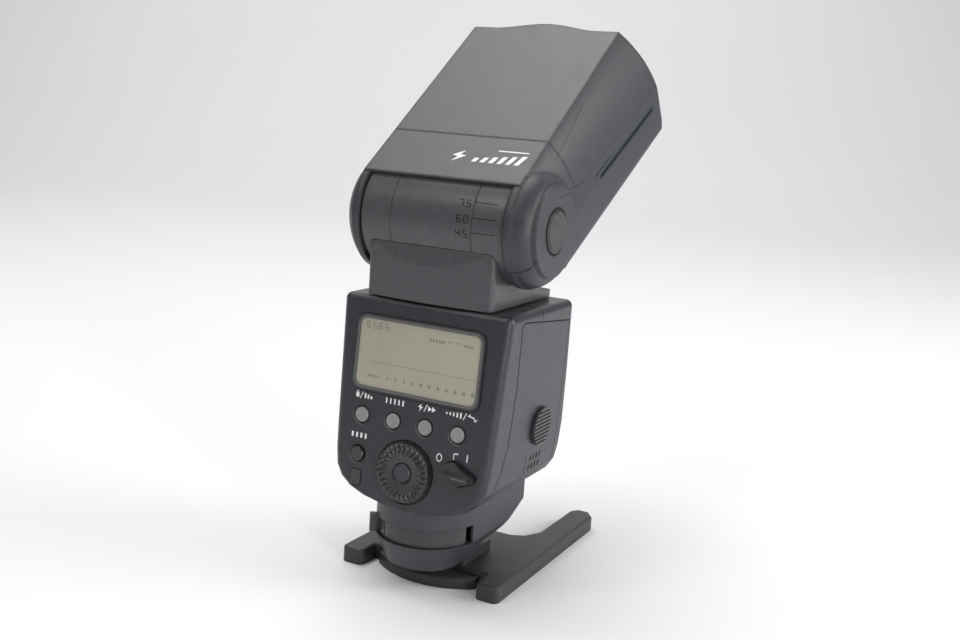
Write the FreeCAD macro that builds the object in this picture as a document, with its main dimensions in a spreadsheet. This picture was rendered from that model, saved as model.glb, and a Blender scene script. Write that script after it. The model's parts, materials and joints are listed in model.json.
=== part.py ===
import FreeCAD, Part
import math
import os
import Sketcher

# Speedlight flash standing in its mini stand, in millimetres.
# +Z is up, the stand's underside is Z = 0, the display side faces -Y and the lamp side faces +Y.
# The origin is the mouth of the thread in the stand's underside, below the swivel axis.

V = FreeCAD.Vector
doc = FreeCAD.newDocument("speedlight_flash")
sheet = doc.addObject("Spreadsheet::Sheet", "sizes")
nodes = []

# ---------------------------------------------------------------- driving dimensions
# name: (number, what it is)
DIMENSIONS = {
    # mini stand
    "stand_half": (31.5, "half the width over the stand's legs"),
    "stand_front": (20.0, "front end of the feet, ahead of the origin towards -Y"),
    "stand_rear": (68.0, "rear end of the legs"),
    "stand_thick": (5.8, "thickness of the stand's legs"),
    "leg_wide": (9.6, "width of one leg"),
    "lobe_radius": (30.5, "radius of the round front edge"),
    "lobe_centre": (10.0, "centre of the round front edge, behind the origin"),
    "lobe_thick": (4.2, "thickness of the round middle"),
    "bay_front": (27.0, "front end of the bay between the rear legs"),
    "thread_bore": (2.55, "wall radius of the quarter inch thread"),
    "bush_radius": (5.0, "outer radius of the threaded bush"),
    "bush_tall": (4.4, "height of the threaded bush"),
    # accessory shoe and foot
    "foot_wide": (18.6, "width of the foot plate"),
    "foot_long": (18.0, "length of the foot plate"),
    "foot_thick": (2.0, "thickness of the foot plate"),
    "foot_level": (5.95, "underside of the foot plate"),
    "rail_high": (2.4, "height of the shoe's side rails"),
    "rail_wide": (3.4, "width of one rail"),
    "lip_thick": (1.2, "thickness of the rail's lip"),
    "stem_half": (5.0, "half the width of the foot's stem"),
    "stem_top": (14.0, "top of the foot's flange"),
    "flange_thick": (1.6, "thickness of the foot's flange"),
    "pin_radius": (0.9, "radius of the lock pin"),
    "pin_spot": (6.4, "lock pin, behind the origin"),
    # foot housing and lock lever
    "collar_radius": (18.0, "outer radius of the foot housing's round end"),
    "collar_centre": (14.0, "centre of the round end, ahead of the origin towards -Y"),
    "lever_radius": (16.8, "outer radius of the lock lever's band"),
    "lever_thick": (2.2, "thickness of the lock lever's band"),
    "lever_low": (17.3, "lower edge of the lock lever"),
    "lever_top": (23.5, "upper edge of the lock lever"),
    # main body
    "wall": (1.8, "wall of the moulded casings"),
    "panel_rear": (24.6, "top edge of the display panel, ahead of the origin towards -Y"),
    "panel_slope": (0.105, "how far the panel leans out for each millimetre down"),
    "body_corner": (2.9, "radius of the body's upright corners"),
    "body_rim": (2.2, "rounding of the body's top edge"),
    "shell_split": (-1.0, "split between rear and front casing"),
    # display and controls, measured along the panel
    "glass_wide": (46.2, "width of the display window"),
    "glass_high": (23.0, "height of the display window"),
    "glass_level": (80.1, "height of the display window's centre"),
    "bezel_rim": (1.5, "width of the window's frame"),
    "bezel_proud": (0.55, "how far the window's frame stands out"),
    "bezel_corner": (3.2, "outer corner radius of the window's frame"),
    "glass_corner": (2.4, "corner radius of the display window"),
    "key_radius": (2.55, "radius of a round button"),
    "key_proud": (0.75, "how far a round button stands out"),
    "key_level": (58.8, "height of the row of four buttons"),
    "key_pitch": (12.35, "spacing of the row of four buttons"),
    "key_first": (-19.6, "place of the first of the four buttons"),
    "dial_radius": (10.4, "outer radius of the select dial"),
    "dial_proud": (2.6, "how far the select dial stands out"),
    "dial_level": (42.6, "height of the select dial"),
    "dial_side": (-0.8, "place of the select dial across the panel"),
    "dial_grips": (32, "number of finger grooves on the dial's rim"),
    "set_radius": (3.2, "radius of the set button"),
    "switch_radius": (4.4, "radius of the power switch's round end"),
    "switch_reach": (8.2, "reach of the power switch's pointer"),
    "switch_side": (17.3, "place of the power switch across the panel"),
    "switch_level": (45.5, "height of the power switch"),
    "pilot_side": (-19.8, "place of the test button across the panel"),
    "pilot_level": (45.4, "height of the test button"),
    "lamp_level": (37.2, "height of the confirmation lamp"),
    # battery compartment
    "door_gap": (0.15, "gap around the battery door"),
    "lock_radius": (6.9, "radius of the battery door's lock"),
    "lock_side": (6.4, "place of the lock, behind the origin"),
    "lock_level": (56.6, "height of the lock"),
    "lock_travel": (3.0, "travel of the lock"),
    "cell_radius": (7.2, "radius of an AA cell"),
    "cell_long": (50.0, "length of an AA cell"),
    # neck and hinge
    "neck_half": (23.8, "half the width of the neck block"),
    "neck_foot": (99.3, "underside of the neck block"),
    "tube_radius": (9.0, "outer radius of the swivel tube"),
    "running_gap": (0.06, "radial clearance of a shaft in its hole"),
    "hinge_back": (5.9, "tilt axis, ahead of the origin towards -Y"),
    "hinge_level": (125.7, "height of the tilt axis"),
    "drum_radius": (19.0, "radius of the drum between the cheeks"),
    "drum_half": (26.7, "half the length of the drum"),
    "cheek_radius": (20.0, "radius of the cheeks"),
    "cheek_inner": (27.0, "inner face of the cheeks"),
    "cheek_outer": (36.6, "outer face of the cheeks"),
    "disc_radius": (15.6, "radius of the raised disc on the right cheek"),
    "plain_cheek": (36.0, "outer face of the left cheek"),
    "hinge_pin": (5.0, "radius of the hinge pins"),
    "bounce_key": (7.2, "radius of the bounce lock button"),
    # head, measured along and square to its top face
    "head_tilt": (36.0, "tilt of the head above level, in degrees"),
    "head_top": (20.3, "top face above the tilt axis"),
    "head_long": (91.0, "front of the head ahead of the tilt axis"),
    "head_wall": (1.7, "wall of the head's casings"),
    "seam": (20.0, "split line across the top face"),
    "lens_half": (29.5, "half the width of the front lens"),
    "lens_low": (-20.5, "lower edge of the front lens"),
    "lens_high": (11.5, "upper edge of the front lens"),
    "lens_thick": (2.0, "thickness of the front lens"),
    "rod_radius": (1.0, "radius of the carriage's guide rods"),
}


class Size:
    """A number together with the spreadsheet expression that gives it."""

    def __init__(self, number, text):
        self.number = float(number)
        self.text = text

    def join(self, other, sign, number):
        if isinstance(other, Size):
            other = other.text
        return Size(number, "(" + self.text + " " + sign + " " + str(other) + ")")

    def __add__(self, other):
        return self.join(other, "+", self.number + float(other))

    def __sub__(self, other):
        return self.join(other, "-", self.number - float(other))

    def __mul__(self, other):
        return self.join(other, "*", self.number * float(other))

    def __truediv__(self, other):
        return self.join(other, "/", self.number / float(other))

    def __neg__(self):
        return Size(-self.number, "(0 - " + self.text + ")")

    def __float__(self):
        return self.number

    def __int__(self):
        return round(self.number)


for row, (alias, (number, meaning)) in enumerate(DIMENSIONS.items(), start=1):
    sheet.set("A%d" % row, alias)
    sheet.set("B%d" % row, str(number))
    sheet.setAlias("B%d" % row, alias)
    sheet.set("C%d" % row, meaning)
doc.recompute()


def size(alias):
    return Size(sheet.get(alias), "sizes." + alias)


def plain(number):
    return Size(number, str(number))


def mm(alias):
    return float(sheet.get(alias))


# ---------------------------------------------------------------- placing
NO_TURN = FreeCAD.Rotation()
TO_X = FreeCAD.Rotation(V(0, 1, 0), 90)
TO_MINUS_X = FreeCAD.Rotation(V(0, 1, 0), -90)
TO_Y = FreeCAD.Rotation(V(1, 0, 0), -90)
PANEL_LEAN = math.degrees(math.atan(mm("panel_slope")))
BODY_TOP = 98.9


def at(x, y, z, turn=NO_TURN):
    return FreeCAD.Placement(V(x, y, z), turn)


def panel_y(z):
    """Where the display panel is at height z."""
    return -mm("panel_rear") - mm("panel_slope") * (BODY_TOP - z)


def on_panel(x, z, out=0.0):
    """A frame on the panel: X across, Y up along the panel, Z out of it."""
    turn = FreeCAD.Rotation(V(1, 0, 0), 90 - PANEL_LEAN)
    return at(x, panel_y(z), z, turn) * at(0, 0, out)


HEAD = at(0, -mm("hinge_back"), mm("hinge_level"), FreeCAD.Rotation(V(1, 0, 0), mm("head_tilt")))


def on_head(x, along, square, turn=NO_TURN):
    """A frame in the head: X across, Y along the head, Z square to its top face."""
    return HEAD * at(x, along, square, turn)


# ---------------------------------------------------------------- document objects
def publish(thing, name):
    """Make an object one of the part's nodes."""
    thing.Label = name
    nodes.append(thing)
    return thing


def bind(thing, **sizes):
    for prop, value in sizes.items():
        if not isinstance(value, Size):
            value = plain(value)
        setattr(thing, prop, value.number)
        thing.setExpression(prop, value.text)


def cylinder(name, radius, tall, where):
    thing = doc.addObject("Part::Cylinder", name)
    bind(thing, Radius=radius, Height=tall)
    thing.Placement = where
    return thing


def box(name, across, deep, tall, where):
    """A box that stands on the middle of its lower face."""
    thing = doc.addObject("Part::Box", name)
    bind(thing, Length=across, Width=deep, Height=tall)
    thing.Placement = where * at(-float(thing.Length) / 2, -float(thing.Width) / 2, 0)
    return thing


def fuse(name, *things):
    thing = doc.addObject("Part::MultiFuse", name)
    thing.Shapes = list(things)
    thing.Refine = True
    return thing


def cut(name, base, *tools):
    tool = tools[0] if len(tools) == 1 else fuse(name + "_tools", *tools)
    thing = doc.addObject("Part::Cut", name)
    thing.Base = base
    thing.Tool = tool
    return thing


def common(name, first, second):
    thing = doc.addObject("Part::MultiCommon", name)
    thing.Shapes = [first, second]
    return thing


def group(name, things):
    """Several equal solids that share one node."""
    thing = doc.addObject("Part::Compound", name)
    thing.Links = things
    return thing


def ring(name, outer, inner, tall, where):
    return cut(name, cylinder(name + "_outer", outer, tall, where),
               cylinder(name + "_inner", inner, plain(float(tall) + 2), where * at(0, 0, -1)))


def shaped(name, shape, where=None):
    """A free-form solid that primitives and sketches don't reach."""
    thing = doc.addObject("Part::Feature", name)
    thing.Shape = shape
    if where is not None:
        thing.Placement = where
    return thing


def rounded(name, base, radius, choose):
    """Round the edges that choose() picks from a Part object."""
    doc.recompute()
    thing = doc.addObject("Part::Fillet", name)
    thing.Base = base
    picked = [i for i, edge in enumerate(base.Shape.Edges, start=1) if choose(edge)]
    thing.Edges = [(i, float(radius), float(radius)) for i in picked]
    return thing


# ---------------------------------------------------------------- PartDesign bodies
def new_body(name, where):
    body = doc.addObject("PartDesign::Body", name)
    body.Placement = where
    return body


def new_sketch(body, name, role):
    sketch = body.newObject("Sketcher::SketchObject", name)
    plane = [f for f in body.Origin.OriginFeatures if f.Role == role][0]
    sketch.AttachmentSupport = [(plane, "")]
    sketch.MapMode = "FlatFace"
    return sketch


def tie(sketch, kind, item, spot, value):
    """Tie one coordinate of a sketch point to the spreadsheet."""
    if value.number == 0:
        axis = -2 if kind == "DistanceX" else -1
        sketch.addConstraint(Sketcher.Constraint("PointOnObject", item, spot, axis))
        return
    index = sketch.addConstraint(Sketcher.Constraint(kind, -1, 1, item, spot, value.number))
    sketch.setExpression("Constraints[%d]" % index, value.text)


def outline(sketch, points):
    """A closed outline of straight lines through points given as pairs of sizes."""
    points = [tuple(v if isinstance(v, Size) else plain(v) for v in p) for p in points]
    first = sketch.GeometryCount
    count = len(points)
    for i in range(count):
        (ax, ay), (bx, by) = points[i], points[(i + 1) % count]
        line = Part.LineSegment(V(ax.number, ay.number, 0), V(bx.number, by.number, 0))
        sketch.addGeometry(line, False)
    for i in range(count):
        follow = first + (i + 1) % count
        sketch.addConstraint(Sketcher.Constraint("Coincident", first + i, 2, follow, 1))
    for i, (x, y) in enumerate(points):
        tie(sketch, "DistanceX", first + i, 1, x)
        tie(sketch, "DistanceY", first + i, 1, y)


def circle(sketch, x, y, radius):
    x, y, radius = [v if isinstance(v, Size) else plain(v) for v in (x, y, radius)]
    ring_line = Part.Circle(V(x.number, y.number, 0), V(0, 0, 1), radius.number)
    item = sketch.addGeometry(ring_line, False)
    index = sketch.addConstraint(Sketcher.Constraint("Radius", item, radius.number))
    sketch.setExpression("Constraints[%d]" % index, radius.text)
    tie(sketch, "DistanceX", item, 3, x)
    tie(sketch, "DistanceY", item, 3, y)


def pad(body, sketch, length, name):
    thing = body.newObject("PartDesign::Pad", name)
    thing.Profile = sketch
    bind(thing, Length=length)
    doc.recompute()
    return thing


def pocket(body, sketch, length, name, flipped=False):
    """Cut a sketch into the body and make sure that it removes something."""
    before = body.Shape.Volume
    thing = body.newObject("PartDesign::Pocket", name)
    thing.Profile = sketch
    bind(thing, Length=length)
    thing.Reversed = flipped
    doc.recompute()
    assert body.Shape.Volume < before, name + " cuts nothing"
    return thing


def turn_solid(body, points, name):
    """A turned solid: the outline is radius and height, the axis is Z."""
    sketch = new_sketch(body, name + "_profile", "XZ_Plane")
    outline(sketch, points)
    thing = body.newObject("PartDesign::Revolution", name)
    thing.Profile = sketch
    thing.ReferenceAxis = (sketch, ["V_Axis"])
    thing.Angle = 360
    doc.recompute()
    return thing


def around(body, original, axis_sketch, count, name):
    thing = body.newObject("PartDesign::PolarPattern", name)
    thing.Originals = [original]
    thing.Axis = (axis_sketch, ["N_Axis"])
    thing.Angle = 360
    thing.Occurrences = int(count)
    if isinstance(count, Size):
        thing.setExpression("Occurrences", count.text)
    body.Tip = thing
    doc.recompute()
    return thing


def soften(body, feature, radius, choose, name, kind="PartDesign::Fillet"):
    """Round or chamfer the edges of a body that choose() picks."""
    names = ["Edge%d" % i for i, edge in enumerate(feature.Shape.Edges, start=1) if choose(edge)]
    thing = body.newObject(kind, name)
    thing.Base = (feature, names)
    if kind == "PartDesign::Fillet":
        bind(thing, Radius=radius)
    else:
        bind(thing, Size=radius)
    doc.recompute()
    return thing


def upright(edge):
    ends = [v.Point for v in edge.Vertexes]
    return len(ends) == 2 and math.hypot(ends[0].x - ends[1].x, ends[0].y - ends[1].y) < 1e-4


def at_level(level):
    return lambda edge: all(abs(v.Point.z - level) < 1e-4 for v in edge.Vertexes)


def plate(name, points, thick, where, corner=None):
    """A flat piece cut to an outline, with rounded corners where asked."""
    body = new_body(name, where)
    sketch = new_sketch(body, name + "_outline", "XY_Plane")
    outline(sketch, points)
    feature = pad(body, sketch, thick, name + "_pad")
    if corner is not None:
        soften(body, feature, corner, upright, name + "_corners")
    return body


def oblong(half_x, half_y):
    return [(-half_x, -half_y), (half_x, -half_y), (half_x, half_y), (-half_x, half_y)]


# ---------------------------------------------------------------- free-form sections
def rounded_section(half, rear, front, z, radius):
    """A level oblong wire with four round corners."""
    k = radius * (1 - math.sqrt(0.5))
    parts = [
        Part.LineSegment(V(-half + radius, rear, z), V(half - radius, rear, z)),
        Part.Arc(V(half - radius, rear, z), V(half - k, rear + k, z), V(half, rear + radius, z)),
        Part.LineSegment(V(half, rear + radius, z), V(half, front - radius, z)),
        Part.Arc(V(half, front - radius, z), V(half - k, front - k, z), V(half - radius, front, z)),
        Part.LineSegment(V(half - radius, front, z), V(-half + radius, front, z)),
        Part.Arc(V(-half + radius, front, z), V(-half + k, front - k, z), V(-half, front - radius, z)),
        Part.LineSegment(V(-half, front - radius, z), V(-half, rear + radius, z)),
        Part.Arc(V(-half, rear + radius, z), V(-half + k, rear + k, z), V(-half + radius, rear, z)),
    ]
    return Part.Wire([p.toShape() for p in parts])


def prism(points, direction):
    """A straight prism from corner points."""
    face = Part.Face(Part.makePolygon(points + [points[0]]))
    return face.extrude(direction)


def slab(x0, x1, y0, y1, z0, z1):
    return Part.makeBox(x1 - x0, y1 - y0, z1 - z0, V(x0, y0, z0))


# level, half width and front of the body's sections, from the keel to the rim
BODY_SECTIONS = [
    (30.2, 10.5, 8.0),
    (31.6, 17.6, 17.6),
    (33.6, 23.0, 22.4),
    (36.4, 26.8, 25.4),
    (40.0, 28.9, 27.0),
    (45.4, 29.7, 28.0),
    (53.5, 30.2, 28.6),
    (74.0, 31.1, 27.4),
    (BODY_TOP, 32.2, 24.8),
]


def body_form(inset):
    """The body's outer solid, or the hollow inside it when inset is the wall."""
    wires = []
    for level, half, front in BODY_SECTIONS:
        corner = mm("body_corner") - 0.6 * inset
        if level == BODY_TOP:
            level = level - inset
        elif level < 50:
            level = level + inset
        rear = panel_y(level) + inset
        wires.append(rounded_section(half - inset, rear, front - inset, level, corner))
    return Part.makeLoft(wires, True, True)


body_outer = body_form(0.0)
rim_edges = [e for e in body_outer.Edges if all(abs(v.Point.z - BODY_TOP) < 1e-4 for v in e.Vertexes)]
body_outer = body_outer.makeFillet(mm("body_rim"), rim_edges)
body_inner = body_form(mm("wall"))
body_skin = body_outer.cut(body_inner)
# ---------------------------------------------------------------- mini stand
def make_stand():
    half = size("stand_half")
    inner = half - size("leg_wide")
    front = -size("stand_front")
    rear = size("stand_rear")
    bay = size("bay_front")
    legs = [
        (inner + 0.9, front), (half, front), (half - 0.9, rear - 4), (half - 4, rear), (inner + 1.2, rear),
        (inner - 1.0, rear - 3), (inner - 1.0, bay + 9), (inner - 4.5, bay + 2.4), (inner - 9, bay),
        (-(inner - 9), bay), (-(inner - 4.5), bay + 2.4), (-(inner - 1.0), bay + 9),
        (-(inner - 1.0), rear - 3), (-(inner + 1.2), rear), (-(half - 4), rear), (-(half - 0.9), rear - 4),
        (-half, front), (-(inner + 0.9), front), (-(inner + 0.9), front + 9), (inner + 0.9, front + 9),
    ]
    frame = plate("stand_legs", legs, size("stand_thick"), at(0, 0, 0))
    soften(frame, frame.Tip, 2.2, lambda e: upright(e) and e.Vertexes[0].Point.y < -15, "feet_corners")
    top = at_level(mm("stand_thick"))
    soften(frame, frame.Tip, 0.9, top, "stand_top_edge")
    lobe_disc = cylinder("lobe_disc", size("lobe_radius"), size("lobe_thick"), at(0, mm("lobe_centre"), 0))
    lobe_keep = box("lobe_keep", 39.2, 26, size("lobe_thick"), at(0, -11, 0))
    lobe = common("lobe", lobe_disc, lobe_keep)
    lobe = rounded("lobe_rounded", lobe, 1.2, lambda e: e.BoundBox.YMin < -19 and e.BoundBox.ZMin > 4)
    whole = fuse("stand_whole", frame, lobe)
    seat = box("shoe_seat", 26.4, 23.4, 4, at(0, 1, mm("bush_tall")))
    hole = cylinder("bush_hole", size("bush_radius"), 6, at(0, 0, -1))
    publish(cut("stand_body", whole, seat, hole), "stand_base")

    blank = cylinder("bush_blank", size("bush_radius"), size("bush_tall"), at(0, 0, 0))
    bore = cylinder("bush_bore", size("thread_bore"), 8, at(0, 0, -1))
    publish(cut("bush", blank, bore), "thread_bush")

    half_foot = mm("foot_wide") / 2 + 0.25
    rail = mm("rail_wide")
    level = mm("stand_thick")
    base = box("shoe_floor", 26.2, 23.2, level - mm("bush_tall"), at(0, 1, mm("bush_tall")))
    pieces = [base]
    for side in (-1, 1):
        mid = side * (half_foot + rail / 2)
        pieces.append(box("rail_%d" % side, size("rail_wide"), 20, size("rail_high"), at(mid, 0, level)))
        lip_mid = side * (half_foot + rail / 2 - 0.7)
        lip_level = level + mm("rail_high")
        lip_wide = size("rail_wide") + 1.4
        pieces.append(box("lip_%d" % side, lip_wide, 20, size("lip_thick"), at(lip_mid, 0, lip_level)))
    pieces.append(box("shoe_stop", 18, 1.6, 1.9, at(0, 10.6, level)))
    channel = box("pin_channel", 2.8, 20.4, 2, at(0, -0.6, level - 0.8))
    publish(cut("shoe_body", fuse("shoe_joined", *pieces), channel), "stand_shoe")


# ---------------------------------------------------------------- foot, housing and lock
def make_foot():
    low = mm("foot_level")
    thick = mm("foot_thick")
    wide = size("foot_wide") / 2
    long = size("foot_long") / 2
    foot = plate("foot_plate", oblong(wide, long), size("foot_thick"), at(0, 0, low), 1.0)
    stem = box("foot_stem", size("stem_half") * 2, 13, mm("stem_top") - low - thick, at(0, 0, low + thick))
    flange = box("foot_flange", 23, 24, size("flange_thick"), at(0, 0, mm("stem_top") - mm("flange_thick")))
    pin_hole = cylinder("pin_hole", size("pin_radius") + size("running_gap"), 20, at(0, mm("pin_spot"), 0))
    contact_holes = []
    contacts = []
    spots = [(0, 0), (-4.6, -4.4), (4.6, -4.4), (-4.6, 2.4), (4.6, 2.4)]
    for i, (x, y) in enumerate(spots):
        contacts.append(cylinder("contact_%d" % i, 0.8, 1.5, at(x, y, low)))
        contact_holes.append(cylinder("contact_hole_%d" % i, 0.8, 2.5, at(x, y, low - 1)))
    screw_holes = []
    screws = []
    for i, (x, y) in enumerate([(-8.6, -9), (8.6, -9), (-8.6, 9), (8.6, 9)]):
        under = mm("stem_top") - mm("flange_thick")
        head = cylinder("screw_head_%d" % i, 1.9, 0.9, at(x, y, under - 0.9))
        shank = cylinder("screw_shank_%d" % i, 1.0, 7.0, at(x, y, under))
        drive = box("screw_drive_%d" % i, 2.4, 0.5, 0.4, at(x, y, under - 0.9))
        screws.append(cut("screw_%d" % i, fuse("screw_blank_%d" % i, head, shank), drive))
        screw_holes.append(cylinder("screw_hole_%d" % i, 1.0, 9, at(x, y, under - 1)))
    holes = [pin_hole] + contact_holes + screw_holes
    publish(cut("foot", fuse("foot_whole", foot, stem, flange), *holes), "shoe_foot")
    publish(group("contacts", contacts), "shoe_contacts")
    publish(group("screws", screws), "foot_screws")

    pin = cylinder("pin", size("pin_radius"), 9.6, at(0, mm("pin_spot"), low - 0.7))
    head = cylinder("pin_head", 1.8, 1.2, at(0, mm("pin_spot"), low + 8.9))
    publish(fuse("pin_whole", pin, head), "lock_pin")


def sector(inner, outer, low, high, start, sweep):
    """A ring sector about the collar's centre, angles in degrees from +X."""
    centre = V(0, -mm("collar_centre"), low)
    disc = Part.makeCylinder(outer, high - low, centre, V(0, 0, 1), sweep)
    disc.rotate(centre, V(0, 0, 1), start)
    if inner > 0:
        disc = disc.cut(Part.makeCylinder(inner, high - low, centre, V(0, 0, 1)))
    return disc


def make_foot_housing():
    radius = mm("collar_radius")
    centre = -mm("collar_centre")
    tall = 34.0 - 8.0
    round_end = Part.makeCylinder(radius, tall, V(0, centre, 8.0))
    straight = slab(-radius, radius, centre, 25.0, 8.0, 34.0)
    form = round_end.fuse(straight).removeSplitter()
    # the underside rises towards the front
    profile = [V(-40, -40, 0), V(-40, -24.5, 8.0), V(-40, -19.5, 8.6), V(-40, -4.5, 14.0),
               V(-40, 10, 15.4), V(-40, 26, 22.5), V(-40, 26, 0)]
    form = form.cut(prism(profile, V(80, 0, 0)))
    # the bowl tapers below the lever
    bowl = Part.makeCone(14.0, radius + 0.4, 10.4, V(0, centre, 7.6))
    bowl_front = prism([V(-14.0, centre, 7.6), V(14.0, centre, 7.6), V(radius + 0.4, centre, 18.0),
                        V(-radius - 0.4, centre, 18.0)], V(0, 40, 0))
    upper = slab(-30, 30, -40, 30, 18.0, 34.0)
    form = form.common(bowl.fuse(bowl_front).fuse(upper))
    beyond_panel = prism([V(-40, panel_y(30.0), 30.0), V(-40, panel_y(40.0), 40.0), V(-40, -60, 40.0),
                          V(-40, -60, 30.0)], V(80, 0, 0))
    form = form.cut(body_outer).cut(beyond_panel)
    # hollow for the foot, the lever and its lock
    groove_inner = mm("lever_radius") - mm("lever_thick") - 0.15
    low = mm("lever_low") - 0.15
    high = mm("lever_top") + 0.15
    form = form.cut(sector(groove_inner, radius + 6, low, high, 203, 157))
    form = form.cut(sector(groove_inner, mm("lever_radius") + 0.15, low, high, 355, 42))
    form = form.cut(slab(-12.0, 12.0, -12.6, 12.6, 0, mm("stem_top")))
    for x in (-8.6, 8.6):
        for y in (-9, 9):
            form = form.cut(Part.makeCylinder(1.0, 7.0, V(x, y, 12.4)))
    form = form.cut(Part.makeCylinder(2.1, 7.0, V(0, mm("pin_spot"), 13)))
    solids = sorted(form.Solids, key=lambda s: s.Volume)
    publish(shaped("foot_housing_shape", solids[-1]), "foot_housing")

    band = sector(mm("lever_radius") - mm("lever_thick"), mm("lever_radius"),
                  mm("lever_low"), mm("lever_top"), 213, 138)
    tab = sector(mm("lever_radius") - 0.6, mm("lever_radius") + 3.6,
                 mm("lever_low"), mm("lever_top"), 213, 8)
    lever = band.fuse(tab).removeSplitter()
    key_angle = 234.0
    spot = at(0, centre, 0, FreeCAD.Rotation(V(0, 0, 1), key_angle))
    window = Part.makeBox(8, 3.0, 4.6, V(12, -1.5, 18.1))
    window.Placement = spot
    lever = lever.cut(window)
    publish(shaped("lock_lever_shape", lever), "lock_lever")
    key = box("release_key", 1.8, 2.7, 4.3, spot * at(mm("lever_radius") - 0.75, 0, 18.25))
    publish(key, "lock_release_button")


# ---------------------------------------------------------------- body casings
def on_panel_slab(x, z, across, high, corner=0.0):
    """An oblong cutter through the panel."""
    depth = 6.0
    cutter = Part.makeBox(across, high, depth + 4.0, V(-across / 2, -high / 2, -depth))
    if corner:
        cutter = cutter.makeFillet(corner, [e for e in cutter.Edges if abs(e.tangentAt(0).z) > 0.9])
    cutter.Placement = on_panel(x, z)
    return cutter


def on_panel_round(x, z, radius, depth=6.0, out=6.0):
    """A round cutter through the panel."""
    cutter = Part.makeCylinder(radius, depth + out, V(0, 0, -depth))
    cutter.Placement = on_panel(x, z)
    return cutter


def door_outline(grow):
    """The battery door seen from its side, grown by the gap for the opening."""
    g = grow
    return [V(24.0, -15.9 - g, 94.4), V(24.0, -15.1 - g, 74.6), V(24.0, -16.8 - g, 54.0),
            V(24.0, -24.4 - g, 34.8), V(24.0, -24.4 - g, 26.0), V(24.0, 22.0 + g, 26.0),
            V(24.0, 22.0 + g, 91.8 + g), V(24.0, -14.4, 95.8 + g)]


def window_in_front(half, low, high, grow=0.0):
    return slab(-half - grow, half + grow, 15.0, 40.0, low - grow, high + grow)


def key_places():
    return [(mm("key_first") + i * mm("key_pitch"), mm("key_level")) for i in range(4)]


def make_body():
    gap = mm("door_gap")
    split = mm("shell_split")
    door_zone = prism(door_outline(0.0), V(20, 0, 0))
    door_hole = prism(door_outline(gap), V(20, 0, 0))
    flap_zone = slab(-40, -24, -11.0, 7.0, 52.0, 82.0)
    flap_hole = slab(-40, -24, -11.2, 7.2, 51.8, 82.2)

    rear = body_skin.common(slab(-50, 50, -60, split, 20, 110))
    rear = rear.cut(door_hole).cut(flap_hole)
    bezel_half = mm("glass_wide") / 2 + mm("bezel_rim")
    bezel_high = mm("glass_high") / 2 + mm("bezel_rim")
    cutters = [on_panel_slab(-0.5, mm("glass_level"), 2 * bezel_half, 2 * bezel_high, mm("bezel_corner"))]
    for x, z in key_places():
        cutters.append(on_panel_round(x, z, mm("key_radius") + 0.12))
    cutters.append(on_panel_round(mm("pilot_side"), mm("pilot_level"), mm("key_radius") + 0.12))
    cutters.append(on_panel_round(mm("dial_side"), mm("dial_level"), mm("dial_radius") - 1.2))
    cutters.append(on_panel_round(mm("switch_side"), mm("switch_level"), 2.0 + mm("running_gap")))
    cutters.append(on_panel_slab(mm("pilot_side"), mm("lamp_level"), 4.0, 5.2))
    for cutter in cutters:
        rear = rear.cut(cutter)
    rear = rear.cut(Part.makeCylinder(mm("tube_radius") + mm("running_gap"), 20, V(0, 0, 90)))
    rear = rear.cut(Part.makeCylinder(2.3, 12, V(0, mm("pin_spot"), 22)))
    publish(shaped("rear_shell_shape", max(rear.Solids, key=lambda s: s.Volume)), "rear_shell")

    front = body_skin.common(slab(-50, 50, split, 60, 20, 110))
    front = front.cut(door_hole).cut(flap_hole)
    front = front.cut(window_in_front(17.0, 52.0, 84.0, 0.05))
    front = front.cut(Part.makeCylinder(mm("tube_radius") + mm("running_gap"), 20, V(0, 0, 90)))
    front = front.cut(Part.makeCylinder(2.3, 12, V(0, mm("pin_spot"), 22)))
    publish(shaped("front_shell_shape", max(front.Solids, key=lambda s: s.Volume)), "front_shell")

    beam = body_skin.common(window_in_front(17.0, 52.0, 84.0))
    publish(shaped("beam_shape", beam), "focus_beam_window")

    door = body_skin.common(door_zone)
    slot = slab(20, 40, mm("lock_side") - 2.2, mm("lock_side") + 2.2,
                mm("lock_level") - 2.2 - mm("lock_travel") - 0.3, mm("lock_level") + 2.2)
    door = door.cut(slot)
    publish(shaped("door_shape", max(door.Solids, key=lambda s: s.Volume)), "battery_door")

    flap = body_skin.common(flap_zone)
    publish(shaped("flap_shape", flap), "terminal_cover")


def make_battery_lock():
    """The round ribbed slide on the battery door, its stem and its tongue."""
    slope = 0.045
    surface = 30.34
    turn = FreeCAD.Rotation(V(0, 1, 0), 90 + math.degrees(math.atan(slope)))
    where = at(surface, mm("lock_side"), mm("lock_level"), turn)
    body = new_body("lock_knob", where * at(0, 0, 0.12))
    sketch = new_sketch(body, "lock_outline", "XY_Plane")
    circle(sketch, 0, 0, size("lock_radius"))
    feature = pad(body, sketch, 1.5, "lock_pad")
    soften(body, feature, 0.4, at_level(1.5), "lock_edge")
    ribs = []
    for i in range(-4, 5):
        ribs.append(box("lock_valley_%d" % i, 0.6, 16, 1.0, where * at(i * 1.35, 0, 0.12 + 0.95)))
    stem = box("lock_stem", 4.0, 4.0, 3.4, where * at(0, 0, -3.2))
    keeper = box("lock_keeper", 8.0, 8.0, 1.0, where * at(0, 0, -3.3))
    knob = cut("lock_ribbed", body, *ribs)
    publish(fuse("lock_whole", knob, stem, keeper), "battery_lock")


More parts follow.
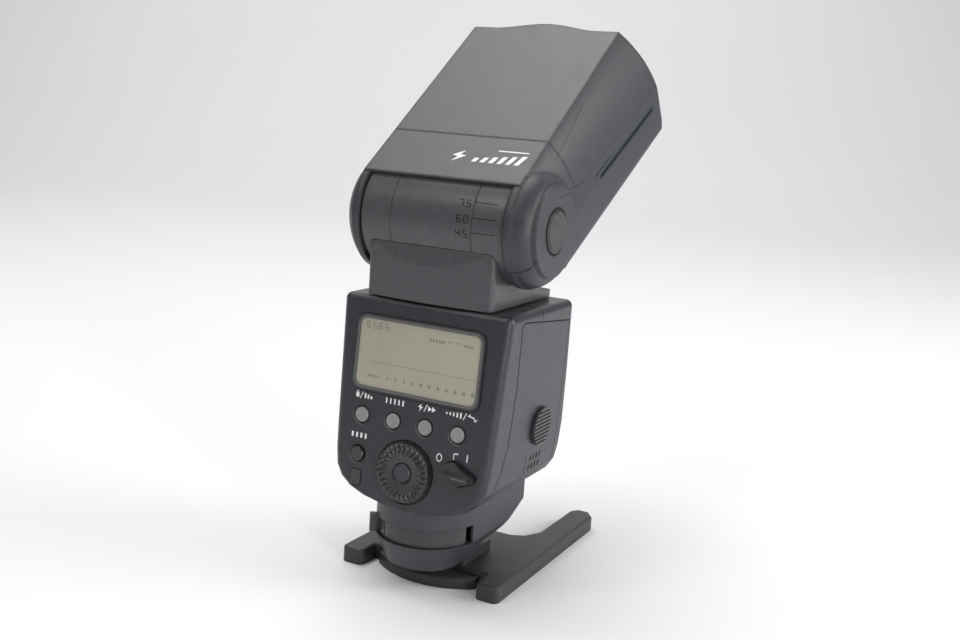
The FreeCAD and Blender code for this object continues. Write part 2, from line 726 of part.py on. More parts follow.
def make_panel_parts():
    glass_x = -0.5
    level = mm("glass_level")
    bezel_half = size("glass_wide") / 2 + size("bezel_rim")
    bezel_high = size("glass_high") / 2 + size("bezel_rim")
    depth = mm("wall")
    frame = plate("bezel_frame", oblong(bezel_half - 0.03, bezel_high - 0.03),
                  plain(depth + mm("bezel_proud")), on_panel(glass_x, level, -depth), mm("bezel_corner"))
    hole = plate("bezel_hole", oblong(size("glass_wide") / 2, size("glass_high") / 2), 8,
                 on_panel(glass_x, level, -3), mm("glass_corner"))
    publish(cut("bezel", frame, hole), "display_bezel")
    glass = plate("glass", oblong(size("glass_wide") / 2 - 0.03, size("glass_high") / 2 - 0.03), 1.0,
                  on_panel(glass_x, level, -0.75), mm("glass_corner"))
    publish(glass, "display_window")
    module = plate("module", oblong(bezel_half - 0.6, bezel_high - 0.3), 2.6,
                   on_panel(glass_x, level, -depth - 2.7), 0.8)
    publish(module, "display_module")

    board = plate("control_pcb", oblong(25.0, 24.5), 1.2, on_panel(0, 68.5, -depth - 6.4))
    publish(board, "control_board")
    mat = plate("mat", oblong(24.0, 3.6), 0.8, on_panel(-1.1, mm("key_level"), -depth - 4.0), 1.0)
    publish(mat, "button_mat")
    lamp = plate("lamp", oblong(1.97, 2.57), 1.9, on_panel(mm("pilot_side"), mm("lamp_level"), -1.75))
    publish(lamp, "confirmation_lamp")

    for i, (x, z) in enumerate(key_places(), start=1):
        publish(make_key("key_%d" % i, x, z, size("key_proud")), "button_%d" % i)
    publish(make_key("pilot", mm("pilot_side"), mm("pilot_level"), size("key_proud") + 0.3), "test_button")

    dial = new_body("dial", on_panel(mm("dial_side"), mm("dial_level"), 0.25))
    proud = size("dial_proud")
    outer = size("dial_radius")
    inner = size("set_radius") + 0.15
    bore = plain(inner.number)
    turn_solid(dial, [(bore, plain(0)), (outer, plain(0)), (outer, proud - 0.7), (outer - 0.7, proud),
                      (outer - 2.6, proud), (outer - 3.3, proud - 0.7), (inner + 1.0, proud - 0.7),
                      (bore, proud - 0.9)], "dial_turned")
    valley = new_sketch(dial, "dial_valley", "XY_Plane")
    circle(valley, outer + 0.15, 0, 0.62)
    first = pocket(dial, valley, proud + 1, "dial_first_valley", True)
    around(dial, first, valley, size("dial_grips"), "dial_valleys")
    stub = ring("dial_stub", size("dial_radius") - 1.35, inner, 3.4,
                on_panel(mm("dial_side"), mm("dial_level"), -3.15))
    publish(fuse("dial_whole", dial, stub), "select_dial")

    set_key = new_body("set_key", on_panel(mm("dial_side"), mm("dial_level"), -3.0))
    radius = size("set_radius")
    turn_solid(set_key, [(plain(0), plain(0)), (radius, plain(0)), (radius, plain(4.8)),
                         (radius - 0.5, plain(5.3)), (plain(0), plain(5.3))], "set_turned")
    publish(set_key, "set_button")

    knob_place = on_panel(mm("switch_side"), mm("switch_level"), 0.15)
    disc = cylinder("switch_disc", size("switch_radius"), 2.2, knob_place)
    reach = size("switch_reach")
    radius = size("switch_radius")
    pointer = plate("switch_pointer",
                    [(plain(0), -radius + 0.25), (reach - 2.0, plain(-1.5)), (reach, plain(-0.6)),
                     (reach, plain(0.6)), (reach - 2.0, plain(1.5)), (plain(0), radius - 0.25)],
                    2.2, knob_place)
    grip = box("switch_grip", 10.6, 1.7, 1.5, knob_place * at(2.0, 0, 2.2))
    stem = cylinder("switch_stem", 2.0, 4.4, knob_place * at(0, 0, -4.4))
    publish(fuse("switch_whole", disc, pointer, grip, stem), "power_switch")


def make_key(name, x, z, proud):
    """A round button: a crowned cap on a wider foot behind the panel."""
    body = new_body(name, on_panel(x, z, -mm("wall") - 1.0))
    radius = size("key_radius")
    top = proud + mm("wall") + 1.0
    turn_solid(body, [(plain(0), plain(0)), (radius + 0.8, plain(0)), (radius + 0.8, plain(0.8)),
                      (radius, plain(0.8)), (radius, top - 0.35), (radius - 0.35, top), (plain(0), top)],
               name + "_turned")
    return body


def make_inside():
    """Battery box, cells, boards and sockets inside the body."""
    radius = mm("cell_radius")
    pitch = 2 * radius + 0.25
    first_y = 0.6
    first_z = 51.5
    start_x = -24.6
    cells = []
    for column in range(2):
        for row in range(2):
            name = "cell_%d%d" % (column, row)
            place = at(start_x, first_y + column * pitch, first_z + row * pitch, TO_X)
            can = cylinder(name + "_can", size("cell_radius"), size("cell_long") - 1.2, place)
            tip_at = mm("cell_long") - 1.2
            tip = cylinder(name + "_tip", 2.7, 1.2, place * at(0, 0, tip_at))
            cells.append(fuse(name, can, tip))
    publish(group("cells", cells), "aa_cells")

    mid_y = first_y + pitch / 2
    low = first_z - radius - 0.9
    inner = 2 * radius + pitch + 0.3
    wall = 0.75
    shell = box("tray_outer", 51.6, inner + 2 * wall, inner + 2 * wall, at(start_x + 25.0, mid_y, low))
    hollow = box("tray_inner", 52.0, inner, inner, at(start_x + 25.9, mid_y, low + wall))
    publish(cut("tray", shell, hollow), "battery_box")
    strips = []
    for column in range(2):
        strips.append(box("strip_%d" % column, 0.4, 9.0, 27.0,
                          at(start_x + mm("cell_long") + 0.2, first_y + column * pitch, first_z - 6.5)))
    publish(group("strips", strips), "battery_contacts")

    can = cylinder("capacitor_can", 8.8, 44.0, at(-22, 9.5, 83.6, TO_X))
    publish(can, "main_capacitor")
    publish(box("main_pcb", 52, 1.6, 48, at(0, -9.6, 44.0)), "main_board")
    block_place = at(-28.3, -1.0, 67.0, TO_X)
    block = box("terminal_blank", 26.0, 13.6, 2.8, block_place)
    sync_hole = ring("sync_hole", 4.0, 1.6, 2.6, block_place * at(7.5, 0, -0.5))
    power_holes = [cylinder("power_hole_%d" % i, 1.2, 2.6, block_place * at(-7.0, 4.0 * i, -0.5))
                   for i in (-1, 0, 1)]
    publish(cut("terminals", block, sync_hole, *power_holes), "terminal_block")


# ---------------------------------------------------------------- neck and hinge
def make_neck():
    half = mm("neck_half")
    low = mm("neck_foot")
    axis_y = -mm("hinge_back")
    axis_z = mm("hinge_level")
    side = [V(-half, -26.0, low), V(-half, 23.0, low), V(-half, 23.0, 101.6), V(-half, -1.0, 106.4),
            V(-half, -14.0, 116.0), V(-half, -26.0, 119.4)]
    block = prism(side, V(2 * half, 0, 0))
    corner = 1.8
    k = corner * (1 - math.sqrt(0.5))
    rear, bow, front, base = -23.3, 1.4, 22.8, low - 1
    plan = Part.Wire([edge.toShape() for edge in [
        Part.Arc(V(-half + corner, rear, base), V(0, rear - bow, base), V(half - corner, rear, base)),
        Part.Arc(V(half - corner, rear, base), V(half - k, rear + k, base), V(half, rear + corner, base)),
        Part.LineSegment(V(half, rear + corner, base), V(half, front - corner, base)),
        Part.Arc(V(half, front - corner, base), V(half - k, front - k, base),
                 V(half - corner, front, base)),
        Part.LineSegment(V(half - corner, front, base), V(-half + corner, front, base)),
        Part.Arc(V(-half + corner, front, base), V(-half + k, front - k, base),
                 V(-half, front - corner, base)),
        Part.LineSegment(V(-half, front - corner, base), V(-half, rear + corner, base)),
        Part.Arc(V(-half, rear + corner, base), V(-half + k, rear + k, base), V(-half + corner, rear, base)),
    ]])
    block = block.common(Part.Face(plan).extrude(V(0, 0, 30)))
    drum_space = Part.makeCylinder(mm("drum_radius"), 80, V(-40, axis_y, axis_z), V(1, 0, 0))
    block = block.cut(drum_space)
    # a flat slanting cut across the bowed face leaves the crescent below the lip
    lip_cut = prism([V(-40, -22.87, 120.05), V(-40, -25.0, 110.2), V(-40, -40, 110.2), V(-40, -40, 125),
                     V(-40, -22.87, 125)], V(80, 0, 0))
    block = max(block.cut(lip_cut).Solids, key=lambda piece: piece.Volume)
    block = block.cut(Part.makeCylinder(7.0, 12, V(0, 0, 95)))
    publish(shaped("neck_shape", block), "neck_block")

    drum_body = new_body("drum", at(-mm("drum_half"), axis_y, axis_z, TO_X))
    length = size("drum_half") * 2
    radius = size("drum_radius")
    middle = size("drum_half")
    groove = 15.2
    notch = 0.25
    bore = size("hinge_pin")
    left = middle - groove
    right = middle + groove
    end_wall = 3.0
    hollow = radius - 2.4
    turn_solid(drum_body, [
        (bore, plain(0)), (radius - 0.4, plain(0)), (radius, plain(0.4)),
        (radius, left - notch), (radius - 0.4, left), (radius, left + notch),
        (radius, right - notch), (radius - 0.4, right), (radius, right + notch),
        (radius, length - 0.4), (radius - 0.4, length), (bore, length), (bore, length - end_wall),
        (hollow, length - end_wall), (hollow, plain(end_wall)), (bore, plain(end_wall))], "drum_turned")
    publish(drum_body, "hinge_drum")

    pins = []
    for side_sign in (-1, 1):
        turn = TO_X if side_sign > 0 else TO_MINUS_X
        start = mm("drum_half") - 12.0
        pins.append(cylinder("hinge_pin_%d" % side_sign, size("hinge_pin"), 16.5,
                             at(side_sign * start, axis_y, axis_z, turn)))
    publish(group("hinge_pin_pair", pins), "hinge_pins")

    tube = new_body("tube", at(0, 0, 92.6))
    outer = size("tube_radius")
    turn_solid(tube, [(plain(5.5), plain(0)), (outer, plain(0)), (outer, plain(mm("neck_foot") - 92.6)),
                      (plain(7.0), plain(mm("neck_foot") - 92.6)), (plain(7.0), plain(10.0)),
                      (plain(5.5), plain(10.0))], "tube_turned")
    publish(tube, "swivel_tube")
    publish(ring("swivel_washer", 14.0, size("tube_radius"), 1.5, at(0, 0, 95.3)), "swivel_plate")
    detent = ring("detent", 15.8, 14.25, 1.5, at(0, 0, 95.5))
    publish(detent, "detent_ring")


# ---------------------------------------------------------------- head
def head_section(along, inset, low, side_low, side_high, top_half):
    """One section of the head: flat top, bowed sides, rounded bottom corners."""
    top = mm("head_top") - inset
    shoulder = top_half - 0.6 * inset
    wide = side_low - inset
    bottom = low + inset
    corner = 3.6 - 0.5 * inset

    def right_side(sign):
        bow = Part.BSplineCurve()
        bow.interpolate([V(sign * shoulder, along, top), V(sign * (shoulder + 1.9), along, top - 2.9),
                         V(sign * (side_high - inset), along, 7.5), V(sign * wide, along, -5.0)])
        k = corner * (1 - math.sqrt(0.5))
        lines = [
            bow,
            Part.LineSegment(V(sign * wide, along, -5.0), V(sign * wide, along, bottom + corner)),
            Part.Arc(V(sign * wide, along, bottom + corner), V(sign * (wide - k), along, bottom + k),
                     V(sign * (wide - corner), along, bottom)),
        ]
        return [line.toShape() for line in lines]

    right = right_side(1)
    left = right_side(-1)
    floor_line = Part.LineSegment(V(wide - corner, along, bottom), V(-wide + corner, along, bottom))
    roof_line = Part.LineSegment(V(-shoulder, along, top), V(shoulder, along, top))
    return Part.Wire(right + [floor_line.toShape()] + left[::-1] + [roof_line.toShape()])


def head_form(inset, start):
    """The head's hood from just ahead of the tilt axis to its front."""
    reach = mm("head_long")
    def section(along):
        share = (along - 2.0) / (reach - 2.0)
        low = -19.0 - 7.5 * share
        side_low = 36.3 + 2.4 * share
        side_high = 34.4 + 1.5 * share
        return head_section(along, inset, low, side_low, side_high, 29.3)
    return Part.makeLoft([section(start), section(reach + (2.0 if inset else 0.0))], True, True)


def front_profile(grow):
    """What lies ahead of the head's bowed front, seen from the side."""
    reach = mm("head_long") - grow
    return prism([V(-60, reach - 5.0, 40), V(-60, reach - 5.0, 20.3), V(-60, reach - 2.4, 8.0),
                  V(-60, reach, -7.0), V(-60, reach, -20.0), V(-60, reach - 1.6, -27.0),
                  V(-60, reach - 1.6, -40), V(-60, reach + 40, -40), V(-60, reach + 40, 40)], V(120, 0, 0))


def cheek(side):
    """One cheek, a drum end with a domed shoulder; only the right one carries a raised disc."""
    radius = mm("cheek_radius")
    disc = mm("disc_radius")
    rim = mm("cheek_inner") + 2.4

    def line(*points):
        return Part.makePolygon([V(side * x, 0, r) for x, r in points]).Edges

    def dome(*points):
        return [Part.Arc(*[V(side * x, 0, r) for x, r in points]).toShape()]

    start = [(mm("cheek_inner"), 0), (mm("cheek_inner"), radius), (rim, radius), (rim + 0.15, radius - 0.45)]
    if side > 0:
        step = rim + 5.8
        outer = mm("cheek_outer")
        edges = line(*start) + dome(start[-1], (rim + 3.4, radius - 1.5), (step, disc + 1.0))
        edges += line((step, disc + 1.0), (step, disc), (outer, disc - 0.3), (outer, 0), start[0])
    else:
        outer = mm("plain_cheek")
        edges = line(*start) + dome(start[-1], (33.3, 15.9), (outer, 10.0))
        edges += line((outer, 10.0), (outer, 0), start[0])
    return Part.Face(Part.Wire(edges)).revolve(V(0, 0, 0), V(1, 0, 0), 360)


def upper_zone():
    """Everything above the split between the head's upper and lower casings."""
    return prism([V(-60, -40, -10.5), V(-60, -15.6, -0.3), V(-60, 8.0, 8.0), V(-60, 26.0, 0.5),
                  V(-60, 100.0, -5.5), V(-60, 100, 60), V(-60, -40, 60)], V(120, 0, 0))


def make_head():
    wall = mm("head_wall")
    drum_gap = Part.makeCylinder(mm("drum_radius") + 0.3, 2 * mm("cheek_inner"),
                                 V(-mm("cheek_inner"), 0, 0), V(1, 0, 0))
    pin_bore = Part.makeCylinder(mm("hinge_pin") + mm("running_gap"), 120, V(-60, 0, 0), V(1, 0, 0))
    form = head_form(0.0, 2.0)
    brow = slab(-29.3, 29.3, -2.6, 2.5, 10.0, mm("head_top"))
    # the left side narrows towards the plain cheek
    narrowing = prism([V(-33.4, 0.5, -40), V(-37.6, 15.0, -40), V(-60, 15.0, -40), V(-60, 0.5, -40)],
                      V(0, 0, 55))
    form = form.cut(narrowing)
    outer = form.fuse(brow).fuse(cheek(1)).fuse(cheek(-1))
    outer = outer.cut(front_profile(0.0)).cut(drum_gap)
    hollow = head_form(wall, 22.0)
    underside = slab(-25.2, 25.2, 2.0, 38.0, -40.0, -17.6)
    skin = outer.cut(hollow).cut(underside)
    roof = slab(-25.2, 25.2, 20.4, 39.5, -17.6, -16.0)
    skin = skin.fuse(roof.common(head_form(0.4, 2.0)))
    end_wall = slab(-25.2, 25.2, 38.0, 39.5, -23.4, -16.0)
    skin = skin.fuse(end_wall).removeSplitter()
    # sockets for the bounce lock button and the hinge pins
    skin = skin.cut(pin_bore)
    key_seat = Part.makeCylinder(mm("bounce_key") + 0.15, 10, V(mm("cheek_outer") - 3.4, 0, 0), V(1, 0, 0))
    skin = skin.cut(key_seat)
    # the slot for the two panels above the lens frame
    panel_slot = slab(-24.3, 24.3, 30.0, 100.0, 14.9, 18.6)
    skin = skin.cut(panel_slot)

    upper = skin.common(upper_zone())
    lower = skin.cut(upper_zone())
    rear_cap = upper.common(slab(-60, 60, -30, mm("seam"), -30, 40))
    hood = upper.cut(slab(-60, 60, -30, mm("seam"), -30, 40))
    # the front edge swells in a smooth wave
    wave = [V(x, 87.75 + 1.85 * math.cos(math.pi * x / 22.0), 18.7) for x in range(-22, 23, 2)]
    crest = [V(-22.0, 84.0, 18.7)] + wave + [V(22.0, 84.0, 18.7)]
    hood = hood.fuse(prism(crest, V(0, 0, mm("head_top") - 18.7))).removeSplitter()
    publish(shaped("hood_shape", max(hood.Solids, key=lambda s: s.Volume), HEAD), "head_top_shell")
    publish(shaped("rear_cap_shape", max(rear_cap.Solids, key=lambda s: s.Volume), HEAD), "head_rear_cover")
    publish(shaped("lower_shape", max(lower.Solids, key=lambda s: s.Volume), HEAD), "head_bottom_shell")


def make_head_front():
    """Lens frame and Fresnel lens, bounce card and wide panel."""
    lens_half = size("lens_half")
    low = mm("lens_low")
    high = mm("lens_high")
    middle = (low + high) / 2
    tall_half = (size("lens_high") - size("lens_low")) / 2
    turn = TO_Y
    hollow = head_form(mm("head_wall") + 0.05, 22.0)
    frame = hollow.common(slab(-60, 60, 83.6, 95.0, -40.0, 14.7)).cut(front_profile(0.8))
    frame = shaped("lens_rim", frame, HEAD)
    opening = oblong(lens_half - 0.8, tall_half - 0.8)
    hole = plate("lens_hole", opening, 20, on_head(0, 80.0, middle, turn), 1.0)
    seat = plate("lens_seat", oblong(lens_half, tall_half), 20, on_head(0, 85.8, middle, turn), 1.2)
    publish(cut("lens_frame_cut", frame, hole, seat), "lens_frame")
    lens = plate("lens_blank", oblong(lens_half - 0.05, tall_half - 0.05), size("lens_thick"),
                 on_head(0, 85.85, middle, turn), 1.2)
    ridges = []
    for i in range(1, 16):
        level = low + i * (high - low) / 16
        ridges.append(box("ridge_%d" % i, 54, 0.35, 0.5, on_head(0, 85.8, level, turn)))
    publish(cut("lens_cut", lens, *ridges), "fresnel_lens")

    panel = plate("panel_blank", oblong(23.8, 24.0), 1.2, on_head(0, 64.4, 17.1), 2.0)
    publish(panel, "wide_panel")
    card = plate("card_blank", oblong(23.6, 24.0), 0.8, on_head(0, 64.2, 15.3), 2.0)
    publish(card, "bounce_card")


def make_head_inside():
    """Flash tube, reflector and zoom drive inside the head."""
    outer = box("frame_outer", 62, 43.6, 30, on_head(0, 61.4, -15.9))
    inner = box("frame_inner", 59.4, 60, 28.0, on_head(0, 61.4, -14.9))
    publish(cut("frame_cut", outer, inner), "head_frame")

    rear = 45.5

    def mouth_wire(along, half, low, high):
        return Part.makePolygon([V(-half, along, low), V(half, along, low), V(half, along, high),
                                 V(-half, along, high), V(-half, along, low)])

    back, mouth = mouth_wire(rear, 20, -2.2, 4.8), mouth_wire(rear + 14, 24.4, -8.4, 11.0)
    blank = Part.makeLoft([back, mouth], True, True)
    back, mouth = mouth_wire(rear + 0.6, 19.5, -1.7, 4.3), mouth_wire(rear + 14.1, 24.0, -8.0, 10.6)
    inside = Part.makeLoft([back, mouth], True, True)
    cup = blank.cut(inside)
    tube_path = Part.makeCylinder(2.0, 60, V(-30, rear + 3.8, 1.3), V(1, 0, 0))
    publish(shaped("reflector_shape", cup.cut(tube_path), HEAD), "reflector")
    publish(cylinder("tube_glass", 1.95, 50, on_head(-25, rear + 3.8, 1.3, TO_X)), "flash_tube")

    rod_gap = size("rod_radius") + size("running_gap")
    block = box("carriage_block", 57, 6.0, 10, on_head(0, rear - 3.2, -5.0))
    lug = box("carriage_lug", 7, 6.0, 9.0, on_head(0, rear - 3.2, -13.6))
    bores = [cylinder("carriage_bore_%d" % s, rod_gap, 30, on_head(s * 26.8, rear - 15, 1.6, TO_Y))
             for s in (-1, 1)]
    screw_level = -10.6
    nut_bore = cylinder("nut_bore", 1.56, 30, on_head(0, rear - 15, screw_level, TO_Y))
    publish(cut("carriage_cut", fuse("carriage_whole", block, lug), nut_bore, *bores), "zoom_carriage")
    rods = [cylinder("rod_%d" % s, size("rod_radius"), 40.0, on_head(s * 26.8, 39.7, 1.6, TO_Y))
            for s in (-1, 1)]
    publish(group("rod_pair", rods), "guide_rods")

    shaft = cylinder("screw_shaft", 1.5, 38.0, on_head(0, 24.5, screw_level, TO_Y))
    publish(shaft, "lead_screw")
    gear = new_body("gear_blank", on_head(0, 27.0, screw_level, TO_Y))
    gear_sketch = new_sketch(gear, "gear_outline", "XY_Plane")
    circle(gear_sketch, 0, 0, 4.6)
    circle(gear_sketch, 0, 0, 1.5)
    pad(gear, gear_sketch, 2.4, "gear_pad")
    tooth = new_sketch(gear, "gear_gap", "XY_Plane")
    circle(tooth, 4.75, 0, 0.5)
    first = pocket(gear, tooth, 3.0, "gear_first_gap", True)
    around(gear, first, tooth, 18, "gear_gaps")
    publish(gear, "zoom_gear")
    publish(cylinder("motor_can", 5.0, 12, on_head(13.0, 25.0, -9.6, TO_Y)), "zoom_motor")
    publish(box("coil_block", 12, 9, 9, on_head(-15.0, 30.0, -9.0)), "trigger_coil")


def make_bounce_lock():
    outer = mm("cheek_outer")
    key = new_body("bounce_key_body", on_head(outer - 2.2, 0, 0, TO_X))
    radius = size("bounce_key")
    turn_solid(key, [(plain(0), plain(0)), (radius, plain(0)), (radius, plain(2.3)),
                     (radius - 0.7, plain(3.0)), (plain(0), plain(3.0))], "bounce_key_turned")
    publish(key, "bounce_lock_button")
    spring = Part.makeHelix(0.45, 0.9, 3.0)
    coil_wire = Part.Wire(spring.Edges)
    start = V(3.0, 0, 0)
    section = Part.Wire(Part.makeCircle(0.18, start, V(0, 1, 0)))
    coil = coil_wire.makePipeShell([section], True, True)
    publish(shaped("key_spring_shape", coil, on_head(outer - 3.3, 0, 0, TO_X)), "button_spring")


make_stand()
make_foot()
make_foot_housing()
make_body()
make_battery_lock()
make_panel_parts()
make_inside()
make_neck()
make_head()
make_head_front()
make_head_inside()
make_bounce_lock()
doc.recompute()

# ---------------------------------------------------------------- check and write
for thing in doc.Objects:
    assert not {"Invalid", "Error"} & set(thing.State), thing.Label + " failed"
os.makedirs("parts", exist_ok=True)
assert len(nodes) <= 60
for node in nodes:
    shape = node.Shape
    assert not shape.isNull() and shape.isValid() and shape.Volume > 0, node.Label + " is not a valid solid"
    print("%-22s solids %2d volume %9.1f" % (node.Label, len(shape.Solids), shape.Volume))
    shape.exportStep("parts/%s.step" % node.Label)
print(len(nodes), "nodes")
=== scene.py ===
import bpy
import bmesh
import json
import math
from mathutils import Matrix, Vector
from mathutils.bvhtree import BVHTree


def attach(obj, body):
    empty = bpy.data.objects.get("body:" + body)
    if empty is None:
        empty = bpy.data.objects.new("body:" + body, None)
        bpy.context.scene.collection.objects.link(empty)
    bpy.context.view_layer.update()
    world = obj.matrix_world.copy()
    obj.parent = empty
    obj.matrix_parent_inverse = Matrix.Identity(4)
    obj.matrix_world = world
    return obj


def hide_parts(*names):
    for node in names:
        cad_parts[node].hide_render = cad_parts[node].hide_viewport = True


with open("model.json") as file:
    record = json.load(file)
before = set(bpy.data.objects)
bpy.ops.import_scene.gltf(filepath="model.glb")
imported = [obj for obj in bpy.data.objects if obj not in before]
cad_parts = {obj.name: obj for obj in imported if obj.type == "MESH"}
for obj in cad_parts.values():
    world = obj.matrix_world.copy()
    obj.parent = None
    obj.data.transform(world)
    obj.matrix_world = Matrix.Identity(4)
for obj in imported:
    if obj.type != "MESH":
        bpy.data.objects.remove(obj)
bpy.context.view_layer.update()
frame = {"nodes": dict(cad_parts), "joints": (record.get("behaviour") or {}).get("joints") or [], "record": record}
nodes = frame["nodes"]
MM = 0.001
joints = {joint["name"]: joint for joint in frame["joints"]}

# ---------------------------------------------------------------- frames taken from the model
ACROSS = Vector((1, 0, 0))
PANEL_OUT = Vector(joints["select_dial_turn"]["axis"])
PANEL_UP = PANEL_OUT.cross(ACROSS)
PANEL_SPOT = Vector(joints["select_dial_turn"]["pos_m"])
HEAD_ALONG = Vector(joints["zoom_slide"]["axis"])
HEAD_SQUARE = ACROSS.cross(HEAD_ALONG)
HINGE = Vector(joints["head_tilt"]["pos_m"])


def axes(x, y, z, place):
    """A frame with the three given axes at a place."""
    turn = Matrix((x, y, z)).transposed().to_4x4()
    return Matrix.Translation(place) @ turn


def on_panel(x, z, out=0.0):
    """On the display panel, in millimetres: X across, Y up along it, Z out of it."""
    place = Vector((x * MM, PANEL_SPOT.y, PANEL_SPOT.z))
    place += PANEL_UP * ((z * MM - PANEL_SPOT.z) / PANEL_UP.z)
    return axes(ACROSS, PANEL_UP, PANEL_OUT, place + PANEL_OUT * out * MM)


def in_head(x, along, square):
    """In the head, in millimetres: X across, Y along the head, Z square to its top."""
    place = HINGE + HEAD_ALONG * along * MM + HEAD_SQUARE * square * MM
    place.x = x * MM
    return axes(ACROSS, HEAD_ALONG, HEAD_SQUARE, place)


# ---------------------------------------------------------------- materials
class Paint:
    """A procedural material that is built up node by node."""

    def __init__(self, name, colour, rough, metal=0.0):
        self.material = bpy.data.materials.new(name)
        self.material.use_nodes = True
        self.tree = self.material.node_tree
        self.shader = self.tree.nodes["Principled BSDF"]
        self.shader.inputs["Base Color"].default_value = (*colour, 1.0)
        self.shader.inputs["Roughness"].default_value = rough
        self.shader.inputs["Metallic"].default_value = metal
        self.place = self.tree.nodes.new("ShaderNodeTexCoord").outputs["Object"]
        self.colour = colour
        self.rough = rough
        self.normal = None

    def node(self, kind, **settings):
        node = self.tree.nodes.new(kind)
        for key, value in settings.items():
            setattr(node, key, value)
        return node

    def link(self, start, end):
        self.tree.links.new(start, end)

    def noise(self, size_mm, detail=3.0, stretch=None):
        node = self.node("ShaderNodeTexNoise")
        node.inputs["Scale"].default_value = 1.0 / (size_mm * MM)
        node.inputs["Detail"].default_value = detail
        place = self.place
        if stretch:
            mapping = self.node("ShaderNodeMapping")
            mapping.inputs["Scale"].default_value = stretch
            self.link(place, mapping.inputs["Vector"])
            place = mapping.outputs["Vector"]
        self.link(place, node.inputs["Vector"])
        return node.outputs["Fac"]

    def mottle(self, size_mm, dark, light, detail=3.0):
        """Varies the colour between two shares of itself."""
        ramp = self.node("ShaderNodeValToRGB")
        ramp.color_ramp.elements[0].position = 0.3
        ramp.color_ramp.elements[1].position = 0.7
        ramp.color_ramp.elements[0].color = (*[c * dark for c in self.colour], 1)
        ramp.color_ramp.elements[1].color = (*[min(1, c * light) for c in self.colour], 1)
        self.link(self.noise(size_mm, detail), ramp.inputs["Fac"])
        self.link(ramp.outputs["Color"], self.shader.inputs["Base Color"])
        return self

    def polish(self, size_mm, spread):
        """Varies the roughness, as handling does."""
        span = self.node("ShaderNodeMapRange")
        span.inputs["From Min"].default_value = 0.3
        span.inputs["From Max"].default_value = 0.7
        span.inputs["To Min"].default_value = self.rough - spread
        span.inputs["To Max"].default_value = self.rough + spread
        self.link(self.noise(size_mm), span.inputs["Value"])
        self.link(span.outputs["Result"], self.shader.inputs["Roughness"])
        return self

    def grain(self, size_mm, depth_mm, detail=2.0, stretch=None):
        """A fine moulded or machined texture."""
        bump = self.node("ShaderNodeBump")
        bump.inputs["Strength"].default_value = 1.0
        bump.inputs["Distance"].default_value = depth_mm * MM
        self.link(self.noise(size_mm, detail, stretch), bump.inputs["Height"])
        if self.normal is not None:
            self.link(self.normal, bump.inputs["Normal"])
        self.normal = bump.outputs["Normal"]
        self.link(self.normal, self.shader.inputs["Normal"])
        return self

    def soft_edges(self, radius_mm):
        """Catches light along edges as a moulding's small radius does."""
        bevel = self.node("ShaderNodeBevel", samples=4)
        bevel.inputs["Radius"].default_value = radius_mm * MM
        self.normal = bevel.outputs["Normal"]
        self.link(self.normal, self.shader.inputs["Normal"])
        return self


def moulded(name, colour, rough, grain_mm=0.35, depth_mm=0.012, edge_mm=0.35):
    paint = Paint(name, colour, rough)
    if edge_mm:
        paint.soft_edges(edge_mm)
    paint.mottle(2.5, 0.92, 1.08).polish(5.0, 0.025).grain(grain_mm, depth_mm)
    return paint.material


def metal(name, colour, rough, stretch=(1, 1, 8)):
    paint = Paint(name, colour, rough, 1.0)
    paint.mottle(3.0, 0.9, 1.05).polish(2.0, 0.06).grain(0.25, 0.004, 2.0, stretch)
    return paint.material


CASE = moulded("case_black", (0.036, 0.038, 0.043), 0.41)
HOOD = moulded("hood_black", (0.036, 0.038, 0.043), 0.42, edge_mm=1.6)
STAND_BLACK = moulded("stand_black", (0.028, 0.029, 0.031), 0.45, 0.30, 0.010, 1.1)
TRIM = moulded("trim_black", (0.034, 0.035, 0.038), 0.30, 0.25, 0.008, 0.2)
SHELL = moulded("shell_black", (0.026, 0.0275, 0.032), 0.33, edge_mm=0.9)
# the case's black plastic made lighter for the neck and the drum: painted light for the light they catch from
# above and in front
NECK_PAINTED_LIGHT = moulded("neck_black_painted_light", (0.064, 0.066, 0.071), 0.30, edge_mm=0.8)
SWITCH = moulded("switch_black", (0.020, 0.0205, 0.022), 0.20, 0.25, 0.003, 0.5)
GREY_KEY = moulded("key_grey", (0.24, 0.245, 0.25), 0.40, 0.3, 0.006, 0.15)
# light grey used only for painted highlights: the display window's edge, the lit lower edges of the key dishes and
# the streak along the switch's ridge
PAINTED_HIGHLIGHT_GREY = moulded("painted_highlight_grey", (0.10, 0.10, 0.105), 0.34, 0.3, 0.004, 0)
KNOB = moulded("knob_pebbled", (0.032, 0.033, 0.036), 0.38, 0.9, 0.45, 0.2)
DIAL = moulded("dial_black", (0.036, 0.037, 0.040), 0.30, 0.25, 0.006, 0)
GROOVE = moulded("groove_black", (0.010, 0.010, 0.011), 0.55, 0.3, 0.004, 0)
BAND = moulded("band_slate", (0.030, 0.036, 0.056), 0.30, 0.3, 0.006, 0)
RUBBER = moulded("rubber_black", (0.020, 0.020, 0.021), 0.62, 0.2, 0.010, 0.2)
CHASSIS = moulded("chassis_grey", (0.10, 0.10, 0.11), 0.5)
BRASS = metal("brass_turned", (0.78, 0.60, 0.30), 0.28)
STEEL = metal("steel_brushed", (0.55, 0.55, 0.56), 0.32)
SILVER = metal("reflector_silver", (0.88, 0.88, 0.89), 0.14)
COPPER = metal("copper_wound", (0.80, 0.45, 0.28), 0.35, (30, 1, 1))
CARD = moulded("card_white", (0.80, 0.80, 0.79), 0.55, 0.4, 0.004)
BOARD = moulded("board_green", (0.03, 0.16, 0.07), 0.35, 0.8, 0.01)
CELL = moulded("cell_wrap", (0.10, 0.22, 0.40), 0.25, 1.2, 0.004)
SLEEVE = moulded("capacitor_sleeve", (0.04, 0.05, 0.09), 0.25, 1.0, 0.004)
